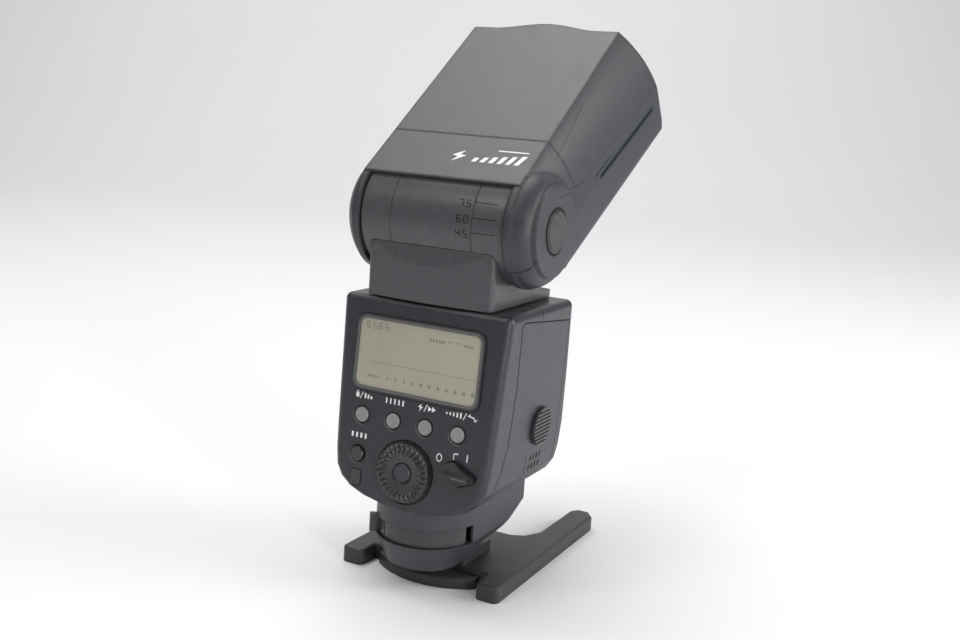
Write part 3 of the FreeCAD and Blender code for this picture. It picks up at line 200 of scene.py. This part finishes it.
DIM_INK = moulded("marking_dim", (0.008, 0.008, 0.008), 0.6, 0.2, 0.002, 0)
for dark in (GROOVE, DIM_INK):
    dark.node_tree.nodes["Principled BSDF"].inputs["Specular IOR Level"].default_value = 0.12
INK = moulded("marking_white", (0.80, 0.81, 0.82), 0.5, 0.2, 0.002, 0)
SEGMENT = moulded("display_segment", (0.20, 0.19, 0.16), 0.30, 0.5, 0.001, 0)


def glossy(name, colour, rough, see_through=0.0):
    paint = Paint(name, colour, rough)
    paint.mottle(6.0, 0.98, 1.02).grain(1.5, 0.0004)
    paint.shader.inputs["Coat Weight"].default_value = 0.6
    paint.shader.inputs["Coat Roughness"].default_value = 0.05
    paint.shader.inputs["Transmission Weight"].default_value = see_through
    return paint.material


RED_WINDOW = glossy("window_red", (0.055, 0.003, 0.005), 0.12)
LAMP = glossy("lamp_smoked", (0.010, 0.010, 0.011), 0.22)
LENS = glossy("lens_clear", (0.86, 0.88, 0.88), 0.10, 0.85)


def display_paint():
    paint = Paint("display_khaki", (0.37, 0.345, 0.27), 0.34)
    paint.mottle(26.0, 0.93, 1.05, 1.0).grain(0.16, 0.0015)
    paint.shader.inputs["Coat Weight"].default_value = 0.9
    paint.shader.inputs["Coat Roughness"].default_value = 0.06
    return paint.material


DISPLAY = display_paint()

SLOT_PAINT = {
    "black_plastic": CASE, "soft_black": TRIM, "grey_key": GREY_KEY, "display_glass": DISPLAY,
    "lamp_clear": LAMP, "red_window": RED_WINDOW, "rubber_black": RUBBER, "brass": BRASS, "steel": STEEL,
    "chrome_steel": STEEL, "aluminium": SILVER, "lens_clear": LENS, "white_card": CARD, "board_green": BOARD,
    "grey_frame": CHASSIS, "cell_wrap": CELL, "capacitor_wrap": SLEEVE, "copper": COPPER,
}
NODE_PAINT = {
    "stand_base": STAND_BLACK, "set_button": CASE, "power_switch": SWITCH, "rear_shell": SHELL,
    "front_shell": SHELL, "neck_block": NECK_PAINTED_LIGHT, "hinge_drum": NECK_PAINTED_LIGHT, "bounce_lock_button": KNOB,
}
NODE_PAINT.update({name: HOOD for name in ("head_top_shell", "head_rear_cover", "head_bottom_shell")})
for entry in frame["record"]["subparts"]:
    thing = nodes[entry["node"]]
    paint = NODE_PAINT.get(entry["node"], SLOT_PAINT[entry["material_slot"]])
    thing.data.materials.clear()
    thing.data.materials.append(paint)


# ---------------------------------------------------------------- mesh tools
def new_piece(name, mesh, paint, body):
    piece = bpy.data.objects.new(name, mesh)
    bpy.context.scene.collection.objects.link(piece)
    mesh.materials.clear()
    mesh.materials.append(paint)
    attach(piece, body)
    return piece


def finish_mesh(name, bm, place):
    """Millimetres to metres, put in place."""
    bmesh.ops.recalc_face_normals(bm, faces=bm.faces)
    bm.transform(place @ Matrix.Scale(MM, 4))
    mesh = bpy.data.meshes.new(name)
    bm.to_mesh(mesh)
    bm.free()
    return mesh


def add_plate(bm, points, low, high):
    """A flat plate with a straight-line outline, between two heights."""
    bottom = [bm.verts.new((x, y, low)) for x, y in points]
    top = [bm.verts.new((x, y, high)) for x, y in points]
    bm.faces.new(bottom[::-1])
    bm.faces.new(top)
    count = len(points)
    for i in range(count):
        j = (i + 1) % count
        bm.faces.new((bottom[i], bottom[j], top[j], top[i]))


def oblong(x, y, wide, high):
    """Corner points of an oblong about its middle."""
    a, b = wide / 2, high / 2
    return [(x - a, y - b), (x + a, y - b), (x + a, y + b), (x - a, y + b)]


def stroke(x0, y0, x1, y1, wide):
    """Corner points of a straight stroke."""
    line = Vector((x1 - x0, y1 - y0)).normalized()
    side = Vector((-line.y, line.x)) * wide / 2
    return [(x0 - side.x, y0 - side.y), (x1 - side.x, y1 - side.y),
            (x1 + side.x, y1 + side.y), (x0 + side.x, y0 + side.y)]


def closed_strokes(outline, wide):
    """Strokes from each point of an outline to the next, and back to the first."""
    ends = outline[1:] + outline[:1]
    return [stroke(*start, *end, wide) for start, end in zip(outline, ends)]


def marks(name, shapes, place, paint, body, thick=0.04):
    """Printed marks: thin raised shapes of ink."""
    bm = bmesh.new()
    for shape in shapes:
        add_plate(bm, shape, -0.02, thick)
    return new_piece(name, finish_mesh(name, bm, place), paint, body)


def add_ring(bm, half_x, half_y, corner, section, steps=8):
    """A rounded-oblong ring; section is a closed list of (outward, height) points."""
    path = []
    for cx, cy, start in ((1, 1, 0), (-1, 1, 90), (-1, -1, 180), (1, -1, 270)):
        for i in range(steps + 1):
            angle = math.radians(start + 90 * i / steps)
            path.append((cx * (half_x - corner), cy * (half_y - corner), math.cos(angle), math.sin(angle)))
    loops = []
    for x, y, dx, dy in path:
        reaches = [(corner + out, height) for out, height in section]
        loops.append([bm.verts.new((x + dx * reach, y + dy * reach, height)) for reach, height in reaches])
    for i in range(len(loops)):
        here, after = loops[i], loops[(i + 1) % len(loops)]
        for j in range(len(section)):
            k = (j + 1) % len(section)
            bm.faces.new((here[j], after[j], after[k], here[k]))


def shade_smooth(piece, angle=40):
    piece.data.shade_smooth()
    piece.data.set_sharp_from_angle(angle=math.radians(angle))


class Surface:
    """The outside of some of the model's nodes, for laying lines and marks on."""

    def __init__(self, *names):
        self.trees = []
        for name in names:
            mesh = nodes[name].data
            corners = [vertex.co for vertex in mesh.vertices]
            faces = [face.vertices for face in mesh.polygons]
            self.trees.append(BVHTree.FromPolygons(corners, faces))

    def hit(self, origin, toward):
        """Where a line from origin first meets the surface, with the outward normal there."""
        best = None
        for tree in self.trees:
            place, normal, _, distance = tree.ray_cast(origin, toward)
            if place is not None and (best is None or distance < best[2]):
                best = (place, normal if normal.dot(toward) < 0 else -normal, distance)
        return best

    def line(self, name, rays, wide, paint, body, slot, lift=0.03):
        """A thin strip laid on the surface where the rays meet it, in millimetres across."""
        hits = [found for found in (self.hit(*ray) for ray in rays) if found is not None]
        bm = bmesh.new()
        rows = []
        for i, (place, normal, _) in enumerate(hits):
            along = hits[min(i + 1, len(hits) - 1)][0] - hits[max(i - 1, 0)][0]
            side = along.cross(normal).normalized() * wide * MM / 2
            rise, sink = normal * lift * MM, normal * -0.15 * MM
            steps = (side + sink, side + rise, rise - side, sink - side)
            rows.append([bm.verts.new(place + step) for step in steps])
        for here, after in zip(rows, rows[1:]):
            for j in range(4):
                k = (j + 1) % 4
                bm.faces.new((here[j], here[k], after[k], after[j]))
        bm.faces.new(rows[0])
        bm.faces.new(rows[-1][::-1])
        bmesh.ops.recalc_face_normals(bm, faces=bm.faces)
        mesh = bpy.data.meshes.new(name)
        bm.to_mesh(mesh)
        bm.free()
        return new_piece(name, mesh, paint, body)


def along(start, end, count):
    """Evenly spaced points from start to end."""
    start, end = Vector(start), Vector(end)
    return [start.lerp(end, i / count) for i in range(count + 1)]


# ---------------------------------------------------------------- printed marks on the panel
SYMBOL_SIZE = 1.25


def foreshortened(shapes):
    """Shapes drawn in heights above the floor, stretched to lie along the leaning panel."""
    return [[(px, pz / PANEL_UP.z) for px, pz in shape] for shape in shapes]


def panel_marks():
    """Generic symbols above each control."""
    shapes = []
    level = 65.2

    def put(points, x, z):
        shapes.append([(x + px * SYMBOL_SIZE, z + pz * SYMBOL_SIZE) for px, pz in points])

    # lamp symbol: a block, a slash and a row of shrinking bars
    x = -19.6
    put(oblong(-2.1, 0.0, 1.0, 1.3), x, level)
    put(oblong(-2.1, 0.95, 0.5, 0.35), x, level)
    put(stroke(-1.2, -0.9, -0.4, 1.0, 0.24), x, level)
    for i in range(3):
        put(oblong(0.4 + i * 0.95, -0.1 * i, 0.5, 1.4 - 0.3 * i), x, level)
    # mode symbol: five thin bars
    x = -7.4
    for i in range(5):
        put(oblong(-2.6 + i * 1.3, 0, 0.42, 1.45), x, level)
    # burst symbol: bolt, slash and arrow heads
    x = 4.9
    put([(-2.6, 0.1), (-1.5, 1.1), (-1.8, 0.3), (-1.1, 0.2), (-2.2, -1.1), (-1.9, -0.1)], x, level)
    put(stroke(-0.7, -0.9, 0.1, 1.0, 0.24), x, level)
    for i in range(2):
        put([(0.5 + i * 1.2, -0.75), (1.6 + i * 1.2, 0.0), (0.5 + i * 1.2, 0.75)], x, level)
    # zoom symbol: widening wedge, slash and double arrow
    x = 17.6
    for i in range(5):
        put(oblong(-4.0 + i * 1.05, 0, 0.42, 0.55 + 0.24 * i), x, level)
    put(stroke(1.0, -0.9, 1.8, 1.0, 0.24), x, level)
    arrow = [(2.1, 0.25), (3.0, 0.95), (2.9, 0.45), (4.2, 0.2), (4.4, -0.55), (5.3, 0.0), (4.5, -1.0),
             (4.3, -0.75), (3.9, -0.1), (2.9, 0.1)]
    put(arrow, x, level)
    # test symbol: four blocks
    for i in range(4):
        put(oblong(-2.1 + i * 1.4, 0, 0.6, 1.35), -20.0, 51.6)
    # power symbols: ring for off, bar for on, with a bracket
    count = 24
    for i in range(count):
        a, b = 2 * math.pi * i / count, 2 * math.pi * (i + 1) / count
        put([(0.62 * math.cos(a), 0.85 * math.sin(a)), (0.62 * math.cos(b), 0.85 * math.sin(b)),
             (0.88 * math.cos(b), 1.11 * math.sin(b)), (0.88 * math.cos(a), 1.11 * math.sin(a))], 11.6, 50.2)
    put(oblong(0, 0, 0.30, 2.0), 21.9, 51.8)
    put(stroke(-0.75, -0.9, -0.75, 0.7, 0.26), 17.9, 51.7)
    put(stroke(-0.87, 0.6, 0.5, 0.75, 0.34), 17.9, 51.7)
    shapes = foreshortened(shapes)
    marks("panel_marks", shapes, on_panel(0, 0), INK, "flash")


SEVEN = {
    "0": "abcdef", "4": "fgbc", "5": "afgcd", "6": "afgcde", "7": "abc",
}


def digit(mark, x, y, wide, high, thick):
    """Strokes of one simple numeral, with its middle at x, y."""
    a, b = wide / 2, high / 2
    ends = {"a": (-a, b, a, b), "b": (a, b, a, 0), "c": (a, 0, a, -b), "d": (-a, -b, a, -b),
            "e": (-a, 0, -a, -b), "f": (-a, b, -a, 0), "g": (-a, 0, a, 0)}
    strokes = []
    for bar in SEVEN[mark]:
        x0, y0, x1, y1 = ends[bar]
        strokes.append(stroke(x + x0, y + y0, x + x1, y + y1, thick))
    return strokes


def display_marks():
    """Faint generic segments, a rule and a distance scale on the display."""
    shapes = []
    left, low = -23.3, 68.6

    def at_share(across, up):
        return left + 45.8 * across, low + 23.0 * up

    for i in range(4):
        x, z = at_share(0.06 + 0.052 * i, 0.905)
        shapes += digit("5" if i % 2 else "6", x, z, 1.25, 2.0, 0.32)
    for i in range(5):
        x, z = at_share(0.59 + 0.026 * i, 0.83)
        shapes.append(oblong(x, z, 0.75, 0.95))
    for i in range(2):
        x, z = at_share(0.755 + 0.065 * i, 0.85)
        shapes.append(oblong(x, z, 1.7, 0.30))
    for i in range(3):
        x, z = at_share(0.875 + 0.026 * i, 0.83)
        shapes.append(oblong(x, z, 0.75, 0.85))
    x0, z0 = at_share(0.10, 0.375)
    x1, z1 = at_share(0.985, 0.375)
    shapes.append(stroke(x0, z0, x1, z1, 0.16))
    for i in range(4):
        x, z = at_share(0.105 + 0.025 * i, 0.165)
        shapes.append(oblong(x, z, 0.7, 0.8))
    for i in range(11):
        x, z = at_share(0.265 + 0.071 * i, 0.165)
        shapes.append(oblong(x, z, 0.55 + 0.06 * i, 1.05))
        shapes.append(oblong(x, z + 1.2, 0.14, 0.5))
    shapes = foreshortened(shapes)
    marks("display_marks", shapes, on_panel(0, 0, 0.25), SEGMENT, "flash", 0.02)


def window_rim_highlight():
    """The rounded edge of the display window, a real raised edge coloured light grey: a painted highlight where it
    catches the light.
    """
    bm = bmesh.new()
    section = [(-0.05, 0.20), (-0.02, 0.66), (0.22, 0.74), (0.55, 0.70), (0.95, 0.50), (0.95, 0.20)]
    add_ring(bm, 23.1, 11.5, 2.4, section)
    mesh = finish_mesh("window_rim_highlight", bm, on_panel(-0.5, 80.1))
    rim = new_piece("window_rim_highlight", mesh, PAINTED_HIGHLIGHT_GREY, "flash")
    shade_smooth(rim, 60)


def key_dish_highlights():
    """Painted highlights: flat light-grey crescents for the lit lower edge of the shallow dish round each button;
    and a dark gap round each button.
    """
    places = [(-19.6 + 12.35 * i, 58.8) for i in range(4)] + [(-19.8, 45.4)]
    shapes = []
    count = 14
    # painted highlight: a light-grey crescent, thickest in the middle, on the lower edge of each dish
    for x, z in places:
        outer, inner = [], []
        for i in range(count + 1):
            turn = math.radians(165 + 130 * i / count)
            thick = 0.42 * math.sin(math.pi * i / count) + 0.02
            outer.append((x + 3.62 * math.cos(turn), z + 3.62 * math.sin(turn)))
            inner.append((x + (3.62 - thick) * math.cos(turn), z + (3.62 - thick) * math.sin(turn)))
        for i in range(count):
            shapes.append([outer[i], outer[i + 1], inner[i + 1], inner[i]])
    shapes = foreshortened(shapes)
    marks("key_dish_highlights", shapes, on_panel(0, 0), PAINTED_HIGHLIGHT_GREY, "flash", 0.03)
    for i, (x, z) in enumerate(places):
        bm = bmesh.new()
        add_ring(bm, 2.7, 2.7, 2.7, [(0.0, -0.3), (0.0, 0.04), (0.35, 0.04), (0.35, -0.3)], 12)
        new_piece("key_gap_%d" % i, finish_mesh("key_gap_%d" % i, bm, on_panel(x, z)), GROOVE, "flash")


def control_rings():
    """Dark gaps round the dial and the switch, the lamp's dark frame, and a painted highlight: a light-grey streak
    along the switch's ridge.
    """
    bm = bmesh.new()
    add_ring(bm, 10.45, 10.45, 10.45, [(0.0, -0.3), (0.0, 0.06), (0.5, 0.06), (0.5, -0.3)], 24)
    new_piece("dial_gap", finish_mesh("dial_gap", bm, on_panel(-0.8, 42.6)), GROOVE, "flash")
    # painted highlight: a light-grey streak along the switch's ridge
    shapes = [stroke(1.2, -0.25, 7.0, -0.25, 0.5)]
    marks("switch_ridge_highlight", shapes, on_panel(17.3, 45.5, 3.85), PAINTED_HIGHLIGHT_GREY, "power_switch", 0.03)
    # the dark gap round the teardrop: a round end and two straight flanks that meet at the pointer
    turns = [math.radians(degrees) for degrees in range(80, 281, 10)]
    outline = [(4.45 * math.cos(turn), 4.45 * math.sin(turn)) for turn in turns]
    outline += [(7.6, -1.6), (8.25, -1.15), (8.5, -0.4), (8.5, 0.4), (8.25, 1.15), (7.6, 1.6)]
    shapes = closed_strokes(outline, 0.34)
    marks("switch_gap", shapes, on_panel(17.3, 45.5), GROOVE, "flash", 0.10)
    # the lamp's dark frame
    x, z = 1.95, 2.55
    shapes = closed_strokes([(-x, -z), (x, -z), (x, z), (-x, z)], 0.5)
    marks("lamp_frame", shapes, on_panel(-19.8, 37.2), GROOVE, "flash", 0.10)


def dial():
    """The select dial: a dished face, a ring of swept ribs and a knurled rim."""
    ribs, around = 28, 28 * 12
    hole, base = 3.35, 0.27
    radii = [hole, 3.6, 4.2, 5.4, 6.1, 6.5, 7.0, 7.6, 8.2, 8.8, 9.3, 9.7, 10.0, 10.3, 10.38]
    bm = bmesh.new()
    rows = []
    for radius in radii:
        row = []
        for i in range(around):
            turn = 2 * math.pi * i / around
            if radius < 6.2:
                height = 1.75 + 0.10 * (radius - hole) if radius > hole else 1.45
            elif radius < 9.9:
                share = (radius - 6.2) / 3.7
                sweep = math.sin(math.pi * share * 1.1) * 0.11 + 0.05 * share
                wave = 0.5 + 0.5 * math.cos(ribs * (turn + sweep))
                height = 1.85 + 0.95 * wave * math.sin(math.pi * share) ** 0.5 - 0.25 * share
            else:
                wave = 0.5 + 0.5 * math.cos(2 * ribs * turn)
                height = {10.0: 1.75, 10.3: 1.30}.get(radius, 0.35) + 0.12 * wave
                radius = radius - 0.10 * wave
            row.append(bm.verts.new((radius * math.cos(turn), radius * math.sin(turn), height)))
        rows.append(row)

    def base_row(radius):
        turns = [2 * math.pi * i / around for i in range(around)]
        return [bm.verts.new((radius * math.cos(turn), radius * math.sin(turn), base)) for turn in turns]

    under, inner = base_row(9.9), base_row(hole)
    rows = [inner] + rows + [under, inner]
    for here, after in zip(rows, rows[1:]):
        for i in range(around):
            j = (i + 1) % around
            bm.faces.new((here[i], after[i], after[j], here[j]))
    piece = new_piece("dial_face", finish_mesh("dial_face", bm, on_panel(-0.8, 42.6)), DIAL, "select_dial")
    shade_smooth(piece, 50)
    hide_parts("select_dial")


# ---------------------------------------------------------------- lines and marks on the casings
def case_lines():
    shell = Surface("rear_shell", "front_shell")
    split = -0.001
    inward = Vector((-1, 0, 0))
    rays = [(Vector((x * MM, split, 0.12)), Vector((0, 0, -1))) for x in range(20, 31)]
    rays += [(Vector((0.05, split, z * MM)), inward) for z in (98.0, 97.4, 96.8, 96.2, 95.9)]
    shell.line("shell_seam_right", rays, 0.30, GROOVE, "flash", "black_plastic")
    rays = [(Vector((-x * MM, split, 0.12)), Vector((0, 0, -1))) for x in range(20, 31)]
    rays += [(Vector((-0.05, split, z * MM)), -inward) for z in [98 - 0.5 * i for i in range(128)]]
    shell.line("shell_seam_left", rays, 0.18, GROOVE, "flash", "black_plastic")
    outline = [(22.25, 92.0), (-14.2, 96.05), (-15.6, 95.4), (-16.15, 94.4), (-15.35, 74.6), (-17.05, 54.0),
               (-24.3, 36.0)]
    rays = []
    for (y0, z0), (y1, z1) in zip(outline, outline[1:]):
        rays += [(p, inward) for p in along((0.05, y0 * MM, z0 * MM), (0.05, y1 * MM, z1 * MM), 14)]
    shell.line("door_seam", rays, 0.34, GROOVE, "flash", "black_plastic")
    door = Surface("battery_door")
    stem = [(-0.0013 + 0.0008 * (i / 8) ** 2, (47.6 - 0.95 * i) * MM) for i in range(9)]
    rays = [(Vector((0.05, y, z)), inward) for y, z in stem]
    door.line("door_arrow_stem", rays, 0.35, DIM_INK, "battery_door", "soft_black")
    for row, level in enumerate((46.6, 43.2)):
        for i in range(4):
            y = (2.4 + 2.5 * i) * MM
            rays = [(Vector((0.05, y, (level - 0.55 * j) * MM)), inward) for j in range(5)]
            door.line("door_mark_%d_%d" % (row, i), rays, 1.1, DIM_INK, "battery_door", "soft_black")


DRUM_RADIUS = 19.0


def drum_place(x, rise, radius):
    """A point at a radius on the drum: rise is measured round its surface from level, in millimetres."""
    angle = rise / DRUM_RADIUS
    return Vector((x * MM, HINGE.y - radius * MM * math.cos(angle), HINGE.z + radius * MM * math.sin(angle)))


def drum_marks():
    """Index lines and tilt angles engraved on the drum."""
    bm = bmesh.new()

    def lay(shape):
        low = [bm.verts.new(drum_place(x, y, 18.85)) for x, y in shape]
        high = [bm.verts.new(drum_place(x, y, 19.03)) for x, y in shape]
        bm.faces.new(high)
        bm.faces.new(low[::-1])
        for i in range(len(shape)):
            j = (i + 1) % len(shape)
            bm.faces.new((low[i], low[j], high[j], high[i]))

    for elevation, text in ((25.8, "75"), (10.0, "60"), (-4.1, "45")):
        rise = DRUM_RADIUS * math.radians(elevation)
        lay(stroke(15.3, rise, 23.9, rise, 0.22))
        for i, mark in enumerate(text):
            for shape in digit(mark, 10.6 + 2.6 * i, rise - 0.6, 1.35, 2.2, 0.28):
                lay(shape)
    bmesh.ops.recalc_face_normals(bm, faces=bm.faces)
    mesh = bpy.data.meshes.new("drum_marks")
    bm.to_mesh(mesh)
    bm.free()
    new_piece("drum_marks", mesh, DIM_INK, "neck")


def head_ray(x, u, n, toward):
    """A ray in the head's frame: toward is given across, along and square."""
    place = in_head(x, u, n).translation
    way = ACROSS * toward[0] + HEAD_ALONG * toward[1] + HEAD_SQUARE * toward[2]
    return place, way.normalized()


def flank_rays(side, start, end, count):
    """Rays onto the head's right (1) or left (-1) flank; start and end are given along and square."""
    return [head_ray(side * 60, p.x, p.y, (-side, 0, 0)) for p in along((*start, 0), (*end, 0), count)]


def head_lines():
    shell = Surface("head_top_shell", "head_rear_cover", "head_bottom_shell")
    down = (0, 0, -1)
    # a faint seam over the top and down both sides
    rays = [head_ray(x, 20.0, 40, down) for x in range(-28, 29)]
    shell.line("top_seam", rays, 0.13, GROOVE, "head", "black_plastic", 0.015)
    for side, name in ((1, "right"), (-1, "left")):
        rays = [head_ray(side * p.x, p.y, 40, down) for p in along((28, 20.0, 0), (29.2, 18.7, 0), 3)]
        rays += flank_rays(side, (18.2, 19.6), (16.2, 15.6), 5)
        rays += flank_rays(side, (16.8, 15.4), (45, 17.6), 30)
        shell.line("corner_seam_" + name, rays, 0.13, GROOVE, "head", "black_plastic", 0.015)
        # the long dark slot on the side, in a slate band
        rays = flank_rays(side, (34, -5.2), (86.0, -10.9), 30)
        shell.line("side_band_" + name, rays, 4.2, BAND, "head", "black_plastic", 0.03)
        rays = flank_rays(side, (36, -5.6), (84.0, -10.8), 30)
        shell.line("side_slot_" + name, rays, 1.7, GROOVE, "head", "black_plastic", 0.08)
    # the split between the upper and lower casings on the cheeks
    rays = flank_rays(1, (-19.2, -1.8), (-15.9, -0.43), 8)
    shell.line("cheek_split_right", rays, 0.24, GROOVE, "head", "black_plastic")
    rays = flank_rays(-1, (-19.0, -1.7), (-4.0, 4.2), 14)
    shell.line("cheek_split_left", rays, 0.2, GROOVE, "head", "black_plastic")


def bounce_lock_gap():
    """The dark gap round the bounce lock button."""
    bm = bmesh.new()
    add_ring(bm, 7.15, 7.15, 7.15, [(0.0, -0.5), (0.0, 0.12), (0.85, 0.12), (0.85, -0.5)], 24)
    place = axes(HEAD_ALONG, HEAD_SQUARE, ACROSS, HINGE + ACROSS * 36.6 * MM)
    new_piece("bounce_lock_gap", finish_mesh("bounce_lock_gap", bm, place), GROOVE, "head")


def head_emblem():
    """A generic sign on the rear of the head: a bolt and rising bars."""
    shapes = [[(-13.5, 0.2), (-9.6, 3.0), (-10.7, 0.6), (-8.3, 0.4), (-12.6, -3.0), (-11.2, -0.3)]]
    for i in range(6):
        x = -5.4 + 3.1 * i
        high = 2.0 + 0.55 * i
        lean = 0.32 * high
        shapes.append([(x, -2.4), (x + 1.7, -2.4), (x + 1.7 + lean, -2.4 + high), (x + lean, -2.4 + high)])
    shapes.append(oblong(7.5, 4.1, 11.0, 0.55))
    marks("head_emblem", shapes, in_head(12.5, 9.0, 20.3), INK, "head", 0.03)


panel_marks()
display_marks()
window_rim_highlight()
key_dish_highlights()
control_rings()
dial()
case_lines()
drum_marks()
head_lines()
bounce_lock_gap()
head_emblem()


# ---------------------------------------------------------------- stage, light and camera
def make_stage():
    """A pale sweep: floor that curves up behind the object."""
    bm = bmesh.new()
    profile = [(-3.0, 0.0), (1.2, 0.0)]
    bend = 0.9
    for i in range(1, 13):
        angle = math.pi / 2 * i / 12
        profile.append((1.2 + bend * math.sin(angle), bend - bend * math.cos(angle)))
    profile.append((2.1, 4.0))
    rows = [[bm.verts.new((x, y, z)) for y, z in profile] for x in (-5.0, 5.0)]
    for i in range(len(profile) - 1):
        bm.faces.new((rows[0][i], rows[1][i], rows[1][i + 1], rows[0][i + 1]))
    bm.transform(Matrix.Rotation(math.radians(27.4), 4, "Z"))
    mesh = bpy.data.meshes.new("sweep")
    bm.to_mesh(mesh)
    bm.free()
    for face in mesh.polygons:
        face.use_smooth = True
    sweep = bpy.data.objects.new("sweep", mesh)
    bpy.context.scene.collection.objects.link(sweep)
    paint = Paint("sweep_white", (0.82, 0.825, 0.84), 0.7)
    paint.mottle(400.0, 0.99, 1.01)
    mesh.materials.append(paint.material)


def soft_light(name, place, aim, wide, high, power):
    data = bpy.data.lights.new(name, "AREA")
    data.shape = "RECTANGLE"
    data.size = wide
    data.size_y = high
    data.energy = power
    light = bpy.data.objects.new(name, data)
    bpy.context.scene.collection.objects.link(light)
    light.location = place
    light.rotation_euler = (Vector(aim) - Vector(place)).to_track_quat("-Z", "Y").to_euler()


def make_light():
    world = bpy.data.worlds.new("studio")
    world.use_nodes = True
    world.node_tree.nodes["Background"].inputs["Color"].default_value = (1.0, 1.0, 1.0, 1.0)
    world.node_tree.nodes["Background"].inputs["Strength"].default_value = 0.26
    bpy.context.scene.world = world
    soft_light("top_light", (-0.25, 0.15, 1.15), (0, 0, 0.10), 0.8, 0.8, 8.5)
    soft_light("right_light", (0.9, 0.35, 0.45), (0, 0, 0.10), 0.5, 0.5, 6.0)
    soft_light("front_light", (-0.30, -0.75, 1.0), (0, 0, 0.12), 0.45, 0.45, 3.0)
    soft_light("edge_light", (0.95, -0.55, 0.30), (0, 0, 0.09), 0.12, 0.7, 4.0)
    soft_light("wall_light", (-0.60, 1.15, 1.30), (-0.80, 1.60, 0.25), 2.4, 0.8, 10.0)


def make_camera():
    azimuth, elevation, roll = math.radians(27.4), math.radians(11.1), math.radians(3.8)
    distance = 0.398
    aim = Vector((0.0079, 0.0, 0.0914))
    back = Vector((math.sin(azimuth) * math.cos(elevation), -math.cos(azimuth) * math.cos(elevation),
                   math.sin(elevation)))
    right = Vector((0, 0, 1)).cross(back).normalized()
    up = back.cross(right)
    rolled_right = right * math.cos(roll) + up * math.sin(roll)
    rolled_up = up * math.cos(roll) - right * math.sin(roll)
    data = bpy.data.cameras.new("camera")
    data.lens = 43.3
    data.sensor_width = 36.0
    data.clip_start = 0.01
    camera = bpy.data.objects.new("camera", data)
    bpy.context.scene.collection.objects.link(camera)
    camera.matrix_world = axes(rolled_right, rolled_up, back, aim + back * distance)
    bpy.context.scene.camera = camera


make_stage()
make_light()
make_camera()
bpy.context.scene.view_settings.view_transform = "Standard"
